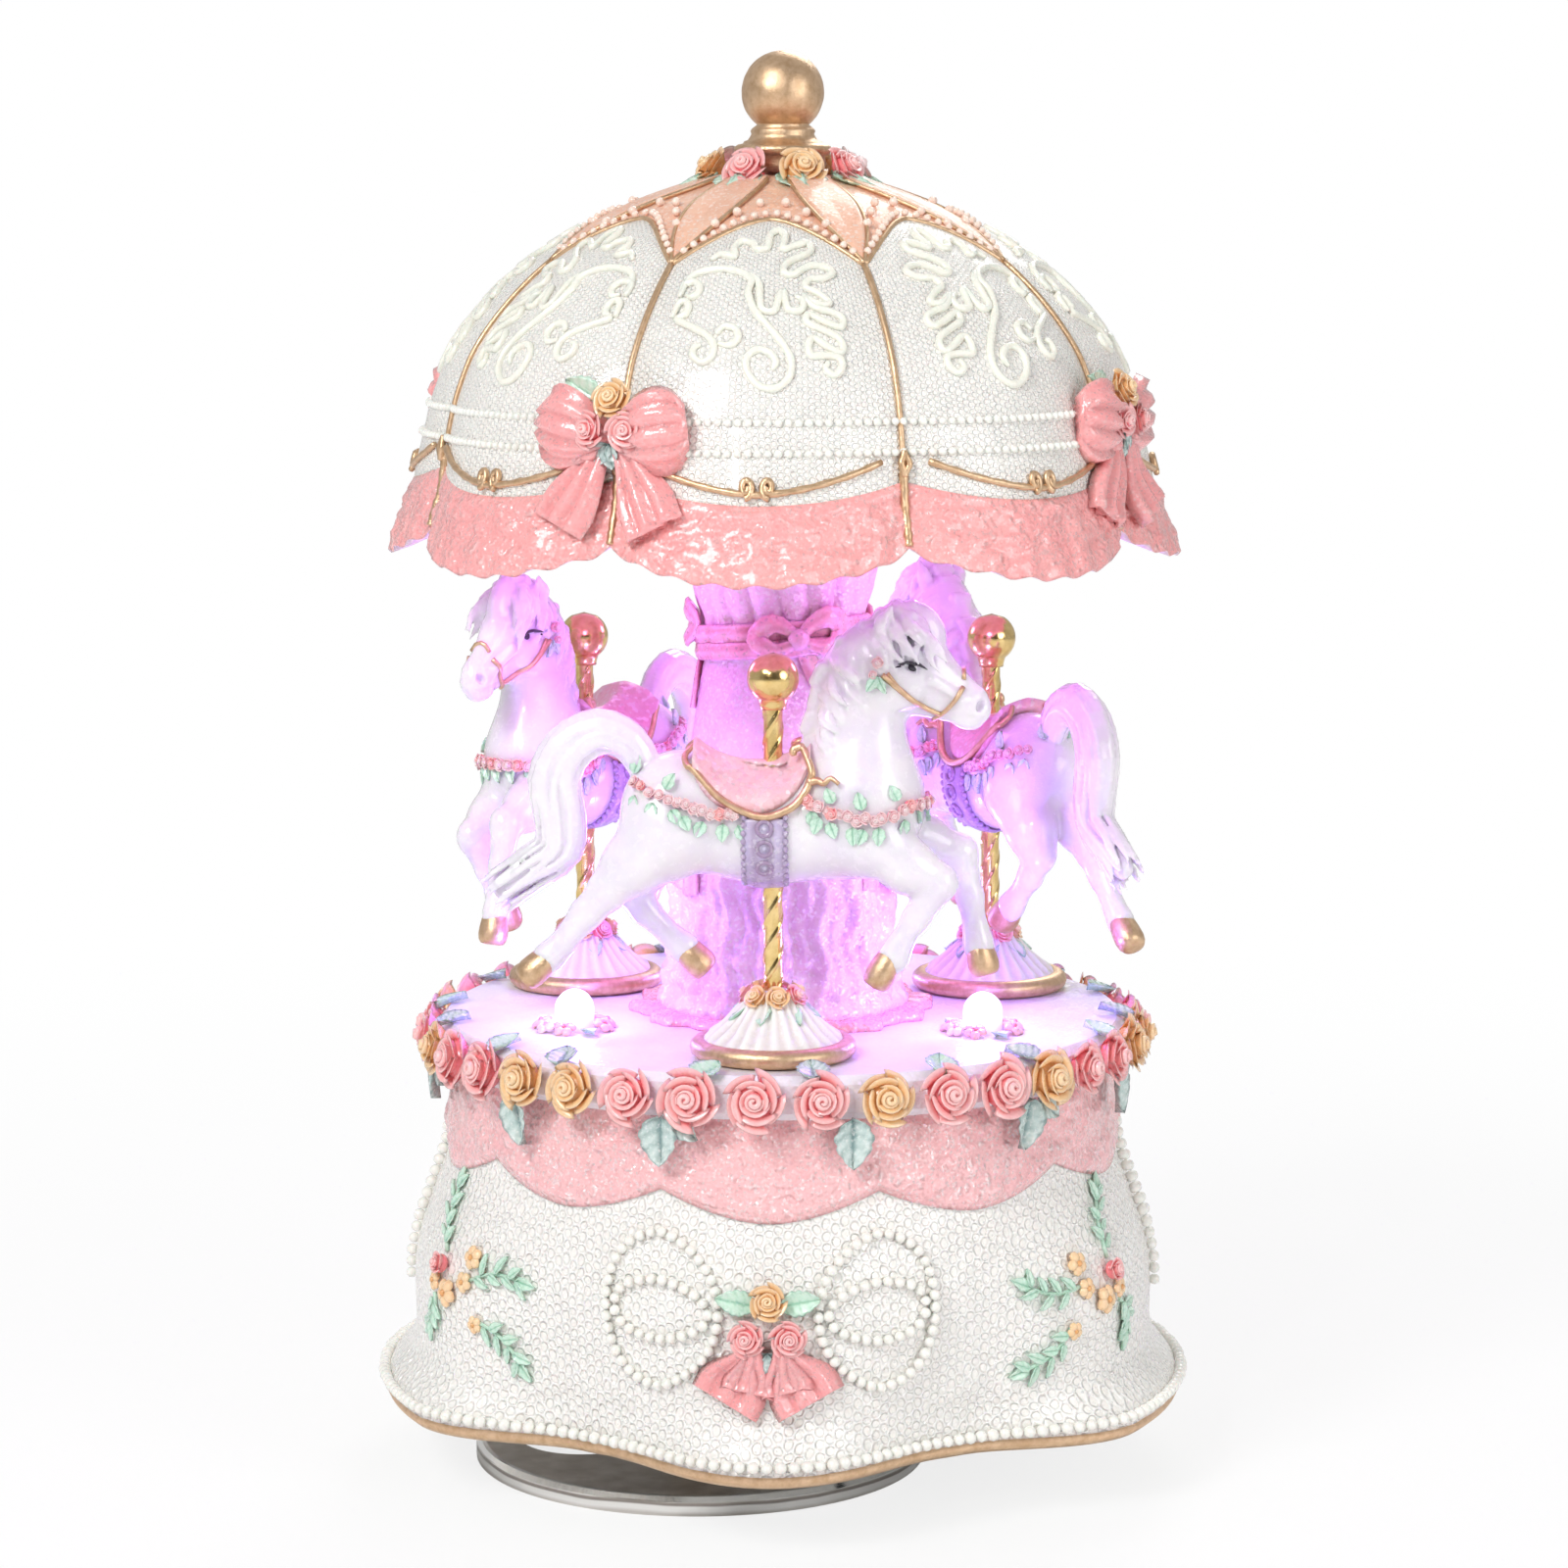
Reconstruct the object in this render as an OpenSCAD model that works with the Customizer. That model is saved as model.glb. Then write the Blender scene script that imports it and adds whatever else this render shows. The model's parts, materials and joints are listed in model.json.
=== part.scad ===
// Carousel music box: a resin carousel that turns on a wind-up metal disc, with three lamps in its deck.
// Millimetres. +Z is up. The origin is on the carousel's axis, at the level of the table.
// A direction round the carousel is an angle "phi", counted from the front (-Y) towards +X.

/* [Stand] */
// Radius of the winding disc that the box stands on
disc_r = 29.5; // [26:0.5:31]
// Height of the winding disc
disc_h = 2.4; // [2:0.1:3]
// Distance of the winding axis from the carousel's axis, towards -X
arbor_offset = 10.8; // [10:0.2:11]

/* [Base] */
// Height of the base's lower edge above the table
base_z = 9.3; // [9:0.1:10]
// Reach of the base's lower edge at its two broad side lobes
side_lobe_r = 52.2; // [51:0.2:53]
// Reach of the base's lower edge at its narrow front and back lobes
front_lobe_r = 50.7; // [49.5:0.1:52]
// Radius of the valleys between the lobes at the lower edge
valley_r = 42.8; // [42:0.2:44]
// Radius of the base under the deck
waist_r = 42.3; // [42:0.1:43]

/* [Deck] */
// Height of the deck's upper face
deck_z = 59; // [58:0.2:60]
// Thickness of the deck
deck_t = 5.5; // [5:0.1:6]
// Radius of the deck
deck_r = 44.6; // [44.2:0.2:46]
// Number of roses round the deck's edge
deck_roses_n = 36; // [30:1:36]

/* [Horses] */
// Distance of the horses' poles from the carousel's axis
pole_ring_r = 31.2; // [30.5:0.1:32]
// Diameter of a pole
pole_d = 2.6; // [2:0.1:3]
// Height of the centre of the ball on a pole
ball_z = 106; // [105:0.1:107]
// Diameter of the ball on a pole
ball_d = 6.4; // [5:0.1:7]

/* [Canopy] */
// Height of the canopy's hem in the middle of a panel
hem_z = 118.8; // [118:0.1:120]
// How far the hem rises towards a rib
hem_rise = 4; // [3:0.1:4.5]
// Turn of the canopy about the axis, in degrees
canopy_turn = -1.5; // [-3:0.5:3]
// Diameter of the ball on the finial
finial_d = 10.5; // [9:0.1:12]
// Height of the whole music box
total_h = 182.4; // [182:0.1:184]

/* [Movement] */
// Teeth of the crown gear on the winding arbor
crown_teeth = 24; // [24:1:24]
// Teeth of the drum's pinion
pinion_teeth = 16; // [16:1:16]
// Teeth of the drum's large wheel
drum_wheel_teeth = 40; // [40:1:40]
// Teeth of the governor's pinion
governor_pinion_teeth = 10; // [10:1:10]
// Teeth of the governor's worm wheel
worm_wheel_teeth = 24; // [24:1:24]
// Teeth of the comb, one for each note
notes = 18; // [12:1:18]

/* [Hidden] */
$fn = 48;
gap = 0.1;                     // free space between two pieces that only sit beside each other
run = 0.08;                    // radial clearance of a shaft that turns

// ---- Derived sizes ----
arbor = [-arbor_offset, -2];
arbor_r = 2;
collar_r = 4.4;
cover_z = base_z + 0.9;        // underside of the bottom cover
cover_t = 2;
cover_r = 38.3;
floor_z = cover_z + cover_t;   // inside floor, where the movement stands
cavity_r = 34;
deck_under = deck_z - deck_t;
bedplate_t = 2.5;
plate_z = floor_z + bedplate_t;
barrel_r = 11;
barrel_h = 7;
barrel_z = plate_z + gap;
crown_z = barrel_z + barrel_h + 0.5;    // underside of the crown gear
crown_t = 2;
crown_r = crown_teeth / 2;              // module 1
pitch_z = crown_z + crown_t + 0.9;      // height where the crown gear and the drum pinion roll together
pinion_r = pinion_teeth / 2;
drum_z = pitch_z + pinion_r;            // height of the drum's axis
drum_r = 6.5;
drum_y = [arbor[1] - 8.5, arbor[1] + 12.5];     // the drum's two ends
fine_module = 0.5;
drum_wheel_r = drum_wheel_teeth * fine_module / 2;
governor_pinion_r = governor_pinion_teeth * fine_module / 2;
worm_wheel_r = worm_wheel_teeth * fine_module / 2;
wheel_y = [arbor[1] + 14.2, arbor[1] + 15.7];   // the drum wheel's two faces
gear_bracket_y = [arbor[1] + 17, arbor[1] + 19];
worm_wheel_y = [arbor[1] + 20.2, arbor[1] + 21.8];
governor_plate_y = [arbor[1] + 24, arbor[1] + 25.5];
governor_x = arbor[0] + drum_wheel_r + governor_pinion_r;
worm_r = 2;                             // pitch radius
worm_lead = PI * fine_module;
worm_x = governor_x + worm_wheel_r + worm_r;
worm_y = (worm_wheel_y[0] + worm_wheel_y[1]) / 2;
lamp_r = 2.5;
lamp_ring_r = 30;
horse_phis = [0, 120, 240];
lamp_phis = [60, 180, 300];
bow_phis = [-22.5, 67.5, 157.5, 247.5];   // on every second rib

cream = [0.93, 0.92, 0.87];
pink = [0.96, 0.62, 0.62];
gold = [0.72, 0.52, 0.28];
steel = [0.68, 0.67, 0.66];
brass = [0.78, 0.62, 0.3];

// ---- Placing ----
// Local -Y points away from the carousel's axis and local +X runs round it.
module at_phi(phi, r, z = 0) {
    translate([r * sin(phi), -r * cos(phi), z]) rotate([0, 0, phi]) children();
}

function ring_point(phi, r, z) = [r * sin(phi), -r * cos(phi), z];

// A closed ring whose section, a loop of [radius, height], may change with phi.
module ring_mesh(sections) {
    n = len(sections);
    m = len(sections[0]);
    points = [for (i = [0:n - 1]) for (p = sections[i]) ring_point(360 * i / n, p[0], p[1])];
    faces = [for (i = [0:n - 1]) for (j = [0:m - 1])
        let (here = i * m, there = ((i + 1) % n) * m, up = (j + 1) % m,
            a = here + j, b = here + up, c = there + j, d = there + up)
        each [[a, c, b], [b, c, d]]];
    polyhedron(points, faces);
}

// A solid through stacked outlines, each a list of points at one height.
module stack_mesh(rings) {
    k = len(rings);
    n = len(rings[0]);
    sides = [for (j = [0:k - 2]) for (i = [0:n - 1])
        let (a = j * n + i, b = j * n + (i + 1) % n, c = a + n, d = b + n)
        each [[a, c, b], [b, c, d]]];
    caps = [[for (i = [0:n - 1]) i], [for (i = [n - 1:-1:0]) (k - 1) * n + i]];
    polyhedron([for (r = rings) each r], concat(sides, caps));
}

// ---- Stand: the disc, its collar and the arbor, which stay still on the table ----
finger_hole_r = 8.4;
finger_ring_r = 15.4;
finger_phis = [-80, 40, 160];
through = 1;                   // how far a cut runs past the face it opens

module winding_disc() {
    lip = 1.3;
    plate_t = 0.9;
    chamfer = 0.6;
    color(steel) translate([arbor[0], arbor[1], 0]) difference() {
        rotate_extrude($fn = 96) polygon([[arbor_r, disc_h - plate_t], [disc_r - lip, disc_h - plate_t],
            [disc_r - lip, 0], [disc_r, 0], [disc_r, disc_h - chamfer], [disc_r - chamfer, disc_h],
            [arbor_r, disc_h]]);
        for (phi = finger_phis) at_phi(phi, finger_ring_r, -through)
            cylinder(r = finger_hole_r, h = disc_h + 2 * through, $fn = 64);
    }
}

module disc_collar() {
    height = floor_z - 0.05 - disc_h;
    color(steel) translate([arbor[0], arbor[1], disc_h]) difference() {
        cylinder(r = collar_r, h = height);
        translate([0, 0, -through]) cylinder(r = arbor_r, h = height + 2 * through);
    }
}

module winding_arbor() {
    foot_z = 0.6;
    nut_r = 3.2;
    nut_t = 1.05;
    color(steel) translate([arbor[0], arbor[1], foot_z]) {
        cylinder(r = arbor_r, h = crown_z + crown_t - foot_z);
        translate([0, 0, -0.2]) cylinder(r = nut_r, h = nut_t, $fn = 6);
    }
}

module crown_gear() {
    tooth = [1.1, 2, 1.6];
    land = 1.1;                // width of the disc beyond the pitch circle
    color(brass) translate([arbor[0], arbor[1], crown_z]) {
        difference() {
            union() {
                cylinder(r = crown_r + land, h = crown_t);
                for (k = [0:crown_teeth - 1]) rotate([0, 0, 360 * k / crown_teeth])
                    translate([-tooth[0] / 2, -crown_r - tooth[1] / 2, crown_t - 0.1]) cube(tooth);
            }
            translate([0, 0, -through]) cylinder(r = arbor_r, h = crown_t + 3 * through);
        }
    }
}

// ---- Base ----
// Angle of phi from the nearer of the front and the back, 0 to 90
function from_front(phi) = let (a = phi % 180) min(a, 180 - a);
// Share of the front lobe and of the side lobe in the outline at phi
function front_share(phi) = let (a = from_front(phi)) a < 30 ? (1 + cos(a * 6)) / 2 : 0;
function side_share(phi) = let (a = from_front(phi), low = 34, high = 62)
    a < low ? 0 : a > high ? 1 : (1 - cos((a - low) / (high - low) * 180)) / 2;
// [height, radius over a side lobe, radius over the front or back lobe, radius over a valley]
base_profile = [[base_z, side_lobe_r - 0.2, front_lobe_r - 0.2, valley_r - 0.2],
    [base_z + 1.5, side_lobe_r, front_lobe_r, valley_r], [13, side_lobe_r - 0.8, front_lobe_r - 0.9, 43],
    [15.5, 49.3, 48.4, 43.2], [18.5, 48.3, 47.6, 43.8], [26, 48.3, 47.4, 44.4], [31, 47.4, 46.8, 44.6],
    [37, 45.3, 45, 44], [43, 43.4, 43.4, 43], [deck_under, waist_r, waist_r, waist_r - 0.2]];

module base_shell() {
    n = 72;
    seat_r = cover_r + 2 * gap;
    inside = [[cavity_r, deck_under], [cavity_r, floor_z], [seat_r, floor_z], [seat_r, base_z]];
    color(cream) ring_mesh([for (i = [0:n - 1])
        let (side = side_share(360 * i / n), front = front_share(360 * i / n))
        concat([for (p = base_profile)
            [p[3] + (p[1] - p[3]) * side + (p[2] - p[3]) * front, p[0]]], inside)]);
}

door_x = [16.4, 30.6];
door_y = [-11, 11];
screw_ring_r = 36.2;
switch_at = [17, -22.6];
cover_screw_phis = [0:90:270];
cover_screw_r = 1.05;
bedplate_screw_r = 1.2;

module bottom_cover() {
    cut = cover_t + 3 * through;
    slot = [5.2, 1.8];         // where the switch's knob slides
    color("whitesmoke") difference() {
        translate([0, 0, cover_z]) cylinder(r = cover_r, h = cover_t, $fn = 96);
        translate([arbor[0], arbor[1], cover_z - through]) cylinder(r = collar_r + 0.4, h = cut);
        translate([door_x[0], door_y[0], cover_z - through])
            cube([door_x[1] - door_x[0], door_y[1] - door_y[0], cut]);
        translate([switch_at[0] - slot[0] / 2, switch_at[1] - slot[1] / 2, cover_z - through])
            cube([slot[0], slot[1], cut]);
        for (phi = cover_screw_phis) at_phi(phi, screw_ring_r, cover_z - through)
            cylinder(r = cover_screw_r + gap, h = cut);
        for (p = bedplate_screw_places) translate([p[0], p[1], cover_z - through])
            cylinder(r = bedplate_screw_r + gap, h = cut);
    }
}

// A pan-head screw with a cross slot: head down, shank up.
module screw(r, length, head_r) {
    head_t = 0.8;
    slot_w = 0.4;
    arm = head_r * 0.65;
    difference() {
        union() {
            cylinder(r = r, h = length);
            translate([0, 0, -head_t]) cylinder(r = head_r, h = head_t);
        }
        for (a = [0, 90]) rotate([0, 0, a]) translate([-arm, -slot_w / 2, -1]) cube([2 * arm, slot_w, 0.6]);
    }
}

module cover_screws() {
    color(steel) for (phi = cover_screw_phis) at_phi(phi, screw_ring_r, cover_z)
        screw(cover_screw_r, 8, 1.9);
}

// ---- Deck ----
pole_sink = 3;                 // how deep a pole stands in the deck

module deck() {
    edge = 1;
    color(cream) difference() {
        rotate_extrude($fn = 96) polygon([[0, deck_under], [deck_r - edge - 0.2, deck_under],
            [deck_r, deck_under + edge], [deck_r, deck_z - edge], [deck_r - edge, deck_z], [0, deck_z]]);
        for (phi = lamp_phis) at_phi(phi, lamp_ring_r, deck_under - through)
            cylinder(r = lamp_r + gap, h = 10);
        for (phi = horse_phis) at_phi(phi, pole_ring_r, deck_z - pole_sink)
            cylinder(r = pole_d / 2, h = 10);
    }
}

// A rose: a cupped flower facing local -Y, its back on the plane y = 0.
module rose(r, depth) {
    rotate([90, 0, 0]) rotate_extrude($fn = 24) polygon([[0, 0], [r * 0.75, 0], [r, depth * 0.35],
        [r * 0.96, depth * 0.7], [r * 0.6, depth * 0.8], [r * 0.35, depth], [0, depth * 0.92]]);
}

module leaf(length, width, t = 0.6) {
    r = (length * length / 4 + width * width / 4) / width;
    linear_extrude(t) intersection() {
        translate([r - width / 2, 0]) circle(r);
        translate([width / 2 - r, 0]) circle(r);
    }
}

module deck_roses() {
    color(pink) for (k = [0:deck_roses_n - 1])
        at_phi(360 * k / deck_roses_n, deck_r + 0.05, deck_z - deck_t / 2) rose(3.5, 3);
}

module deck_leaves() {
    color([0.62, 0.74, 0.66]) {
        for (phi = [5:20:345]) if (phi % 120 > 10) at_phi(phi, deck_r - 3.5, deck_z + 0.02) leaf(5, 2.6);
        for (phi = [15:30:345]) at_phi(phi, deck_r + 0.3, deck_under - 2.8)
            rotate([-90, 0, 0]) leaf(5.6, 3.6);
    }
}

// ---- Column ----
boss_z = 158;                  // underside of the canopy's crown, where the column ends
rug_t = 1.2;
// [height, radius]
column_profile = [[deck_z + rug_t, 15], [66, 14.4], [73, 13.8], [80, 13.4], [88, 12.4], [96, 11.4],
    [103, 10.5], [105, 10.2], [107.4, 10.9], [110, 10.2], [114, 11.2], [118, 11.8], [122, 9],
    [boss_z - 0.05, 8]];

module column() {
    n = 48;
    pleats = 12;
    pleat_depth = 0.45;
    color([0.93, 0.7, 0.72]) stack_mesh([for (p = column_profile) [for (i = [0:n - 1])
        ring_point(-360 * i / n, p[1] + pleat_depth * cos(pleats * 360 * i / n), p[0])]]);
}

module column_rug() {
    n = 48;
    rug_r = 19.6;
    waves = 8;
    color(pink) stack_mesh([for (z = [deck_z + 0.02, deck_z + rug_t - 0.02])
        [for (i = [0:n - 1]) ring_point(-360 * i / n, rug_r + 0.7 * cos(waves * 360 * i / n), z)]]);
}

// A ribbon bow: two loops, two tails and a knot, w across and h high.
module bow_outline(w, h) {
    circle(r = w * 0.14);
    for (s = [-1, 1]) {
        translate([s * w * 0.29, h * 0.1]) circle(r = w * 0.2);
        polygon([[0, w * 0.12], [0, -w * 0.12], [s * w * 0.3, -w * 0.1], [s * w * 0.3, w * 0.2]]);
        polygon([[0, 0], [s * w * 0.1, -h * 0.62], [s * w * 0.36, -h * 0.5], [s * w * 0.14, 0]]);
    }
}

module column_bow() {
    color(pink) at_phi(62, 14.2, 82) rotate([90, 0, 0]) linear_extrude(2.2) bow_outline(9, 14);
    color(pink) at_phi(12, 11.6, 109) rotate([90, 0, 0]) linear_extrude(1.8) bow_outline(9, 8);
}

// ---- Canopy ----
panels = 8;
peg_r = 2.4;                    // radius of the finial's peg
// [height over a panel's middle, height over a rib, radius over the middle, radius over a rib]
canopy_profile = [[hem_z, hem_z + hem_rise, 50.8, 46.4], [122.5, 125.4, 49.4, 45.6],
    [126, 127.6, 48.2, 44.9], [130, 130.4, 47, 44.5], [134.3, 134.3, 45.9, 44], [138, 138, 45, 43.2],
    [141.1, 141.1, 43.9, 42.2],
    [144.8, 144.8, 42.3, 40.6], [148.6, 148.6, 39.6, 38], [152.3, 152.3, 36.3, 34.7], [156, 156, 32, 30.5],
    [159.8, 159.8, 26, 24.8], [162.8, 162.8, 19.5, 18.7], [165, 165, 13, 12.6], [166.8, 166.8, 7, 7],
    [167, 167, peg_r, peg_r]];
canopy_inner = [[boss_z, boss_z, peg_r, peg_r], [boss_z, boss_z, 14, 13.4], [153.5, 153.5, 26.2, 25],
    [146, 146, 35.6, 34], [138.5, 138.5, 41, 39], [131, 131.2, 43.2, 41],
    [hem_z + 0.4, hem_z + hem_rise + 0.4, 47.8, 43.6]];

// 1 over the middle of a panel and 0 over a rib
function bulge(phi) = pow(abs(cos(phi * panels / 2)), 0.8);

module canopy() {
    n = 96;
    profile = concat(canopy_profile, canopy_inner);
    color(cream) rotate([0, 0, canopy_turn]) ring_mesh([for (i = [0:n - 1]) let (f = bulge(360 * i / n))
        [for (p = profile) [p[3] + (p[2] - p[3]) * f, p[1] + (p[0] - p[1]) * f]]]);
}

bow_back_r = 46.3;
bow_t = 2.4;
bow_z = 135;

module canopy_bows() {
    color(pink) for (phi = bow_phis) at_phi(phi + canopy_turn, bow_back_r, bow_z)
        rotate([90, 0, 0]) linear_extrude(bow_t) bow_outline(19, 15);
}

module canopy_bow_roses() {
    face_r = bow_back_r + bow_t + 0.05;
    for (phi = bow_phis) {
        color([0.95, 0.75, 0.45]) at_phi(phi + canopy_turn, face_r - 1.6, bow_z + 6.2) rose(2.5, 2.6);
        color(pink) for (x = [-2.6, 2.6])
            at_phi(phi + canopy_turn, face_r, bow_z + 1.2) translate([x, 0, 0]) rose(2.4, 2);
    }
}

module canopy_wreath() {
    color(pink) for (k = [0:7]) at_phi(45 * k + 8, 8.3, 168.6) rotate([-38, 0, 0]) rose(2.3, 2.6);
}

module finial() {
    seat_z = 167.05;
    ball_r = finial_d / 2;
    color(gold) {
        translate([0, 0, boss_z + 0.2]) cylinder(r = peg_r - 0.02, h = seat_z - boss_z);
        translate([0, 0, seat_z]) rotate_extrude() polygon([[0, 0], [5.2, 0], [5.3, 2], [6.1, 2.5],
            [6.1, 3.3], [5, 3.9], [4, 4.4], [3.8, 5.4], [4.2, 7], [0, 7]]);
        translate([0, 0, total_h - ball_r]) sphere(r = ball_r);
    }
}

// ---- Pedestals, poles and balls ----
// [height, radius]
pedestal_profile = [[0, 10], [1.5, 10], [1.6, 8.9], [2.8, 8], [4.6, 5.2], [6.6, 3.2], [8, 2.8]];

module pedestal(phi) {
    n = 40;
    color(cream) at_phi(phi, pole_ring_r, deck_z + 0.02) difference() {
        stack_mesh([for (k = [0:len(pedestal_profile) - 1])
            let (p = pedestal_profile[k], flute = k > 1 && k < 5 ? 0.25 : 0)
            [for (i = [0:n - 1]) ring_point(-360 * i / n, p[1] + flute * cos(20 * 360 * i / n), p[0])]]);
        translate([0, 0, -through]) cylinder(r = pole_d / 2 + 0.02, h = 12);
    }
}

module pole(phi) {
    foot_z = deck_z - pole_sink;
    into_ball = 1.2;
    color(gold) at_phi(phi, pole_ring_r, foot_z)
        cylinder(d = pole_d, h = ball_z - ball_d / 2 + into_ball - foot_z, $fn = 32);
}

module pole_ball(phi) {
    color(gold) at_phi(phi, pole_ring_r, ball_z) difference() {
        union() {
            sphere(d = ball_d);
            translate([0, 0, -ball_d / 2 - 0.6]) cylinder(r = pole_d / 2 + 0.35, h = 1.4);
        }
        translate([0, 0, -ball_d / 2 - 1]) cylinder(d = pole_d, h = 2.2, $fn = 32);
    }
}

// ---- Horse ----
// Joints of a horse's skeleton, each [x, y, z, radius]: x forwards, y inwards, z above the table.
// The pole is at x = y = 0.
horse_fn = 12;
horse_trunk = [[-12, 0, 89, 6.4], [0, 0, 87.2, 6.5], [12.4, 0, 88.6, 6.6]];
horse_neck = [[12, 0, 94.5, 6], [10.6, 0, 103, 5.2], [13, 0, 109, 4.8]];
horse_head = [[16, 0, 108.6, 3.8], [20.4, 0, 105, 2.9], [23.6, 0, 102.4, 2.7]];
horse_tail = [[-15.6, 0, 93.6, 2.2], [-21.6, 0, 97.6, 2.6], [-26.2, 0, 94, 2.8], [-27, 0, 87, 3],
    [-30.6, 0, 82, 2.4], [-34.4, 0, 79.8, 1.6]];
horse_legs = [
    [[-13.6, -3, 85.4, 4], [-20.4, -3.4, 78, 2], [-27.8, -3.4, 70.4, 2]],
    [[-12.8, 3, 85, 4], [-14, 3.4, 77, 1.9], [-9.6, 3.4, 69.8, 2]],
    [[14, -3, 85.4, 3.8], [22.4, -3.2, 82.4, 2.2], [26, -3.2, 71, 2]],
    [[13.4, 3, 85, 3.6], [17, 3.2, 78, 2], [13.4, 3.2, 70.4, 2]]];

module limb(joints) {
    for (k = [0:len(joints) - 2]) hull() for (p = [joints[k], joints[k + 1]])
        translate([p[0], p[1], p[2]]) sphere(r = p[3], $fn = horse_fn);
}

module horse(phi) {
    color(cream) at_phi(phi, pole_ring_r) difference() {
        union() {
            limb(horse_trunk);
            limb(horse_neck);
            limb(horse_head);
            limb(horse_tail);
            for (leg = horse_legs) limb(leg);
        }
        translate([0, 0, 70]) cylinder(r = pole_d / 2 + gap + 0.02, h = 40, $fn = 24);
    }
}

// ---- Lamps ----
lamp_foot_z = deck_under - 1.05;
lamp_dome_z = deck_z + 2.6;

module lamp(phi) {
    color("white", 0.6) at_phi(phi, lamp_ring_r, 0) {
        translate([0, 0, lamp_foot_z]) cylinder(r = lamp_r, h = lamp_dome_z - lamp_foot_z);
        translate([0, 0, lamp_dome_z]) sphere(r = lamp_r);
        translate([0, 0, lamp_foot_z]) cylinder(r = lamp_r + 0.45, h = 1);
    }
}

module lamp_collars() {
    ring_r = 4;
    wire = 1.1;
    color(pink) for (phi = lamp_phis) at_phi(phi, lamp_ring_r, deck_z + wire + 0.05)
        rotate_extrude() translate([ring_r, 0]) circle(r = wire, $fn = 24);
}

module lamp_wires() {
    wire_r = 0.5;
    run_z = 50.2;
    hub = [24, 0];
    color("firebrick") {
        for (phi = lamp_phis) {
            foot = ring_point(phi, lamp_ring_r, 0);
            ends = [[foot[0], foot[1], lamp_foot_z - 0.05], [foot[0], foot[1], run_z],
                [hub[0], hub[1], run_z]];
            for (k = [0, 1]) rod(ends[k], ends[k + 1], wire_r);
            translate(ends[1]) sphere(r = wire_r, $fn = 24);
        }
        rod([hub[0], hub[1], run_z], [hub[0], hub[1], battery_top + 0.05], wire_r);
        translate([hub[0], hub[1], run_z]) sphere(r = wire_r + 0.05, $fn = 24);
    }
}

module rod(a, b, r) {
    d = b - a;
    length = norm(d);
    translate(a) rotate([0, acos(d[2] / length), atan2(d[1], d[0])]) cylinder(r = r, h = length, $fn = 24);
}

// ---- Movement: the parts that stay with the base ----
bedplate_screw_places = [[-24, -17], [-24, 14], [8, -17]];

module bedplate() {
    color(brass) difference() {
        translate([0, 0, floor_z]) linear_extrude(bedplate_t) intersection() {
            circle(r = cavity_r - 1, $fn = 96);
            translate([-30, arbor[1] - 20]) square([44.5, 47]);
        }
        translate([arbor[0], arbor[1], floor_z - through]) cylinder(r = arbor_r + run, h = 6);
        for (p = bedplate_screw_places) translate([p[0], p[1], floor_z - through])
            cylinder(r = bedplate_screw_r + 0.05, h = 6);
        // A notch clears the switch.
        translate([switch_at[0] - 5, switch_at[1] - 3, floor_z - 1]) cube([10, 5.7, 6]);
    }
}

module bedplate_screws() {
    color(steel) for (p = bedplate_screw_places) translate([p[0], p[1], cover_z])
        screw(bedplate_screw_r, 4.6, 2.2);
}

module spring_barrel() {
    wall = 0.7;
    bore = arbor_r + run;
    color(steel) translate([arbor[0], arbor[1], barrel_z]) rotate_extrude($fn = 72)
        polygon([[bore, 0], [barrel_r, 0], [barrel_r, barrel_h], [bore, barrel_h], [bore, barrel_h - wall],
            [barrel_r - wall, barrel_h - wall], [barrel_r - wall, wall], [bore, wall]]);
}

module mainspring() {
    turns = 6;
    steps = 20;
    inner = 3;
    outer = barrel_r - 1.3;
    strip = 0.4;
    last = turns * steps;
    function spiral(k, add) = let (a = 360 * k / steps, r = inner + (outer - inner) * k / last + add)
        [r * cos(a), r * sin(a)];
    color([0.35, 0.37, 0.42]) translate([arbor[0], arbor[1], barrel_z + 1]) linear_extrude(barrel_h - 2)
        polygon(concat([for (k = [0:last]) spiral(k, 0)], [for (k = [last:-1:0]) spiral(k, strip)]));
}

comb_x = [arbor[0] + drum_r + 1, 12.4];
comb_t = 1;
comb_root_x = 3.6;
comb_y = [drum_y[0] + 1, drum_y[1] - 1];
comb_screw_x = 8;
comb_screw_y = [arbor[1] - 2, arbor[1] + 6];
comb_screw_r = 1;

module comb() {
    pitch = (comb_y[1] - comb_y[0]) / notes;
    slit = 0.24;
    color([0.75, 0.77, 0.8]) difference() {
        translate([comb_x[0], comb_y[0], drum_z]) cube([comb_x[1] - comb_x[0], pitch * notes, comb_t]);
        for (k = [1:notes - 1])
            translate([comb_x[0] - through, comb_y[0] + pitch * k - slit / 2, drum_z - 1])
                cube([comb_root_x - comb_x[0] + through - k * 0.12, slit, 3]);
        for (y = comb_screw_y) translate([comb_screw_x, y, drum_z - through])
            cylinder(r = comb_screw_r + gap, h = 4);
    }
}

module comb_block() {
    block_x = [4.2, comb_x[1]];
    color(brass) difference() {
        translate([block_x[0], comb_y[0], plate_z])
            cube([block_x[1] - block_x[0], comb_y[1] - comb_y[0], drum_z - plate_z]);
        for (y = comb_screw_y) translate([comb_screw_x, y, drum_z - 6]) cylinder(r = comb_screw_r, h = 8);
    }
}

module comb_screws() {
    color(steel) for (y = comb_screw_y) translate([comb_screw_x, y, drum_z + comb_t])
        rotate([180, 0, 0]) screw(comb_screw_r, 5.5, 1.9);
}

bearing_y = [arbor[1] - 17.4, arbor[1] - 15.4];
axle_r = 1;
fine_axle_r = 0.8;

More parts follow.
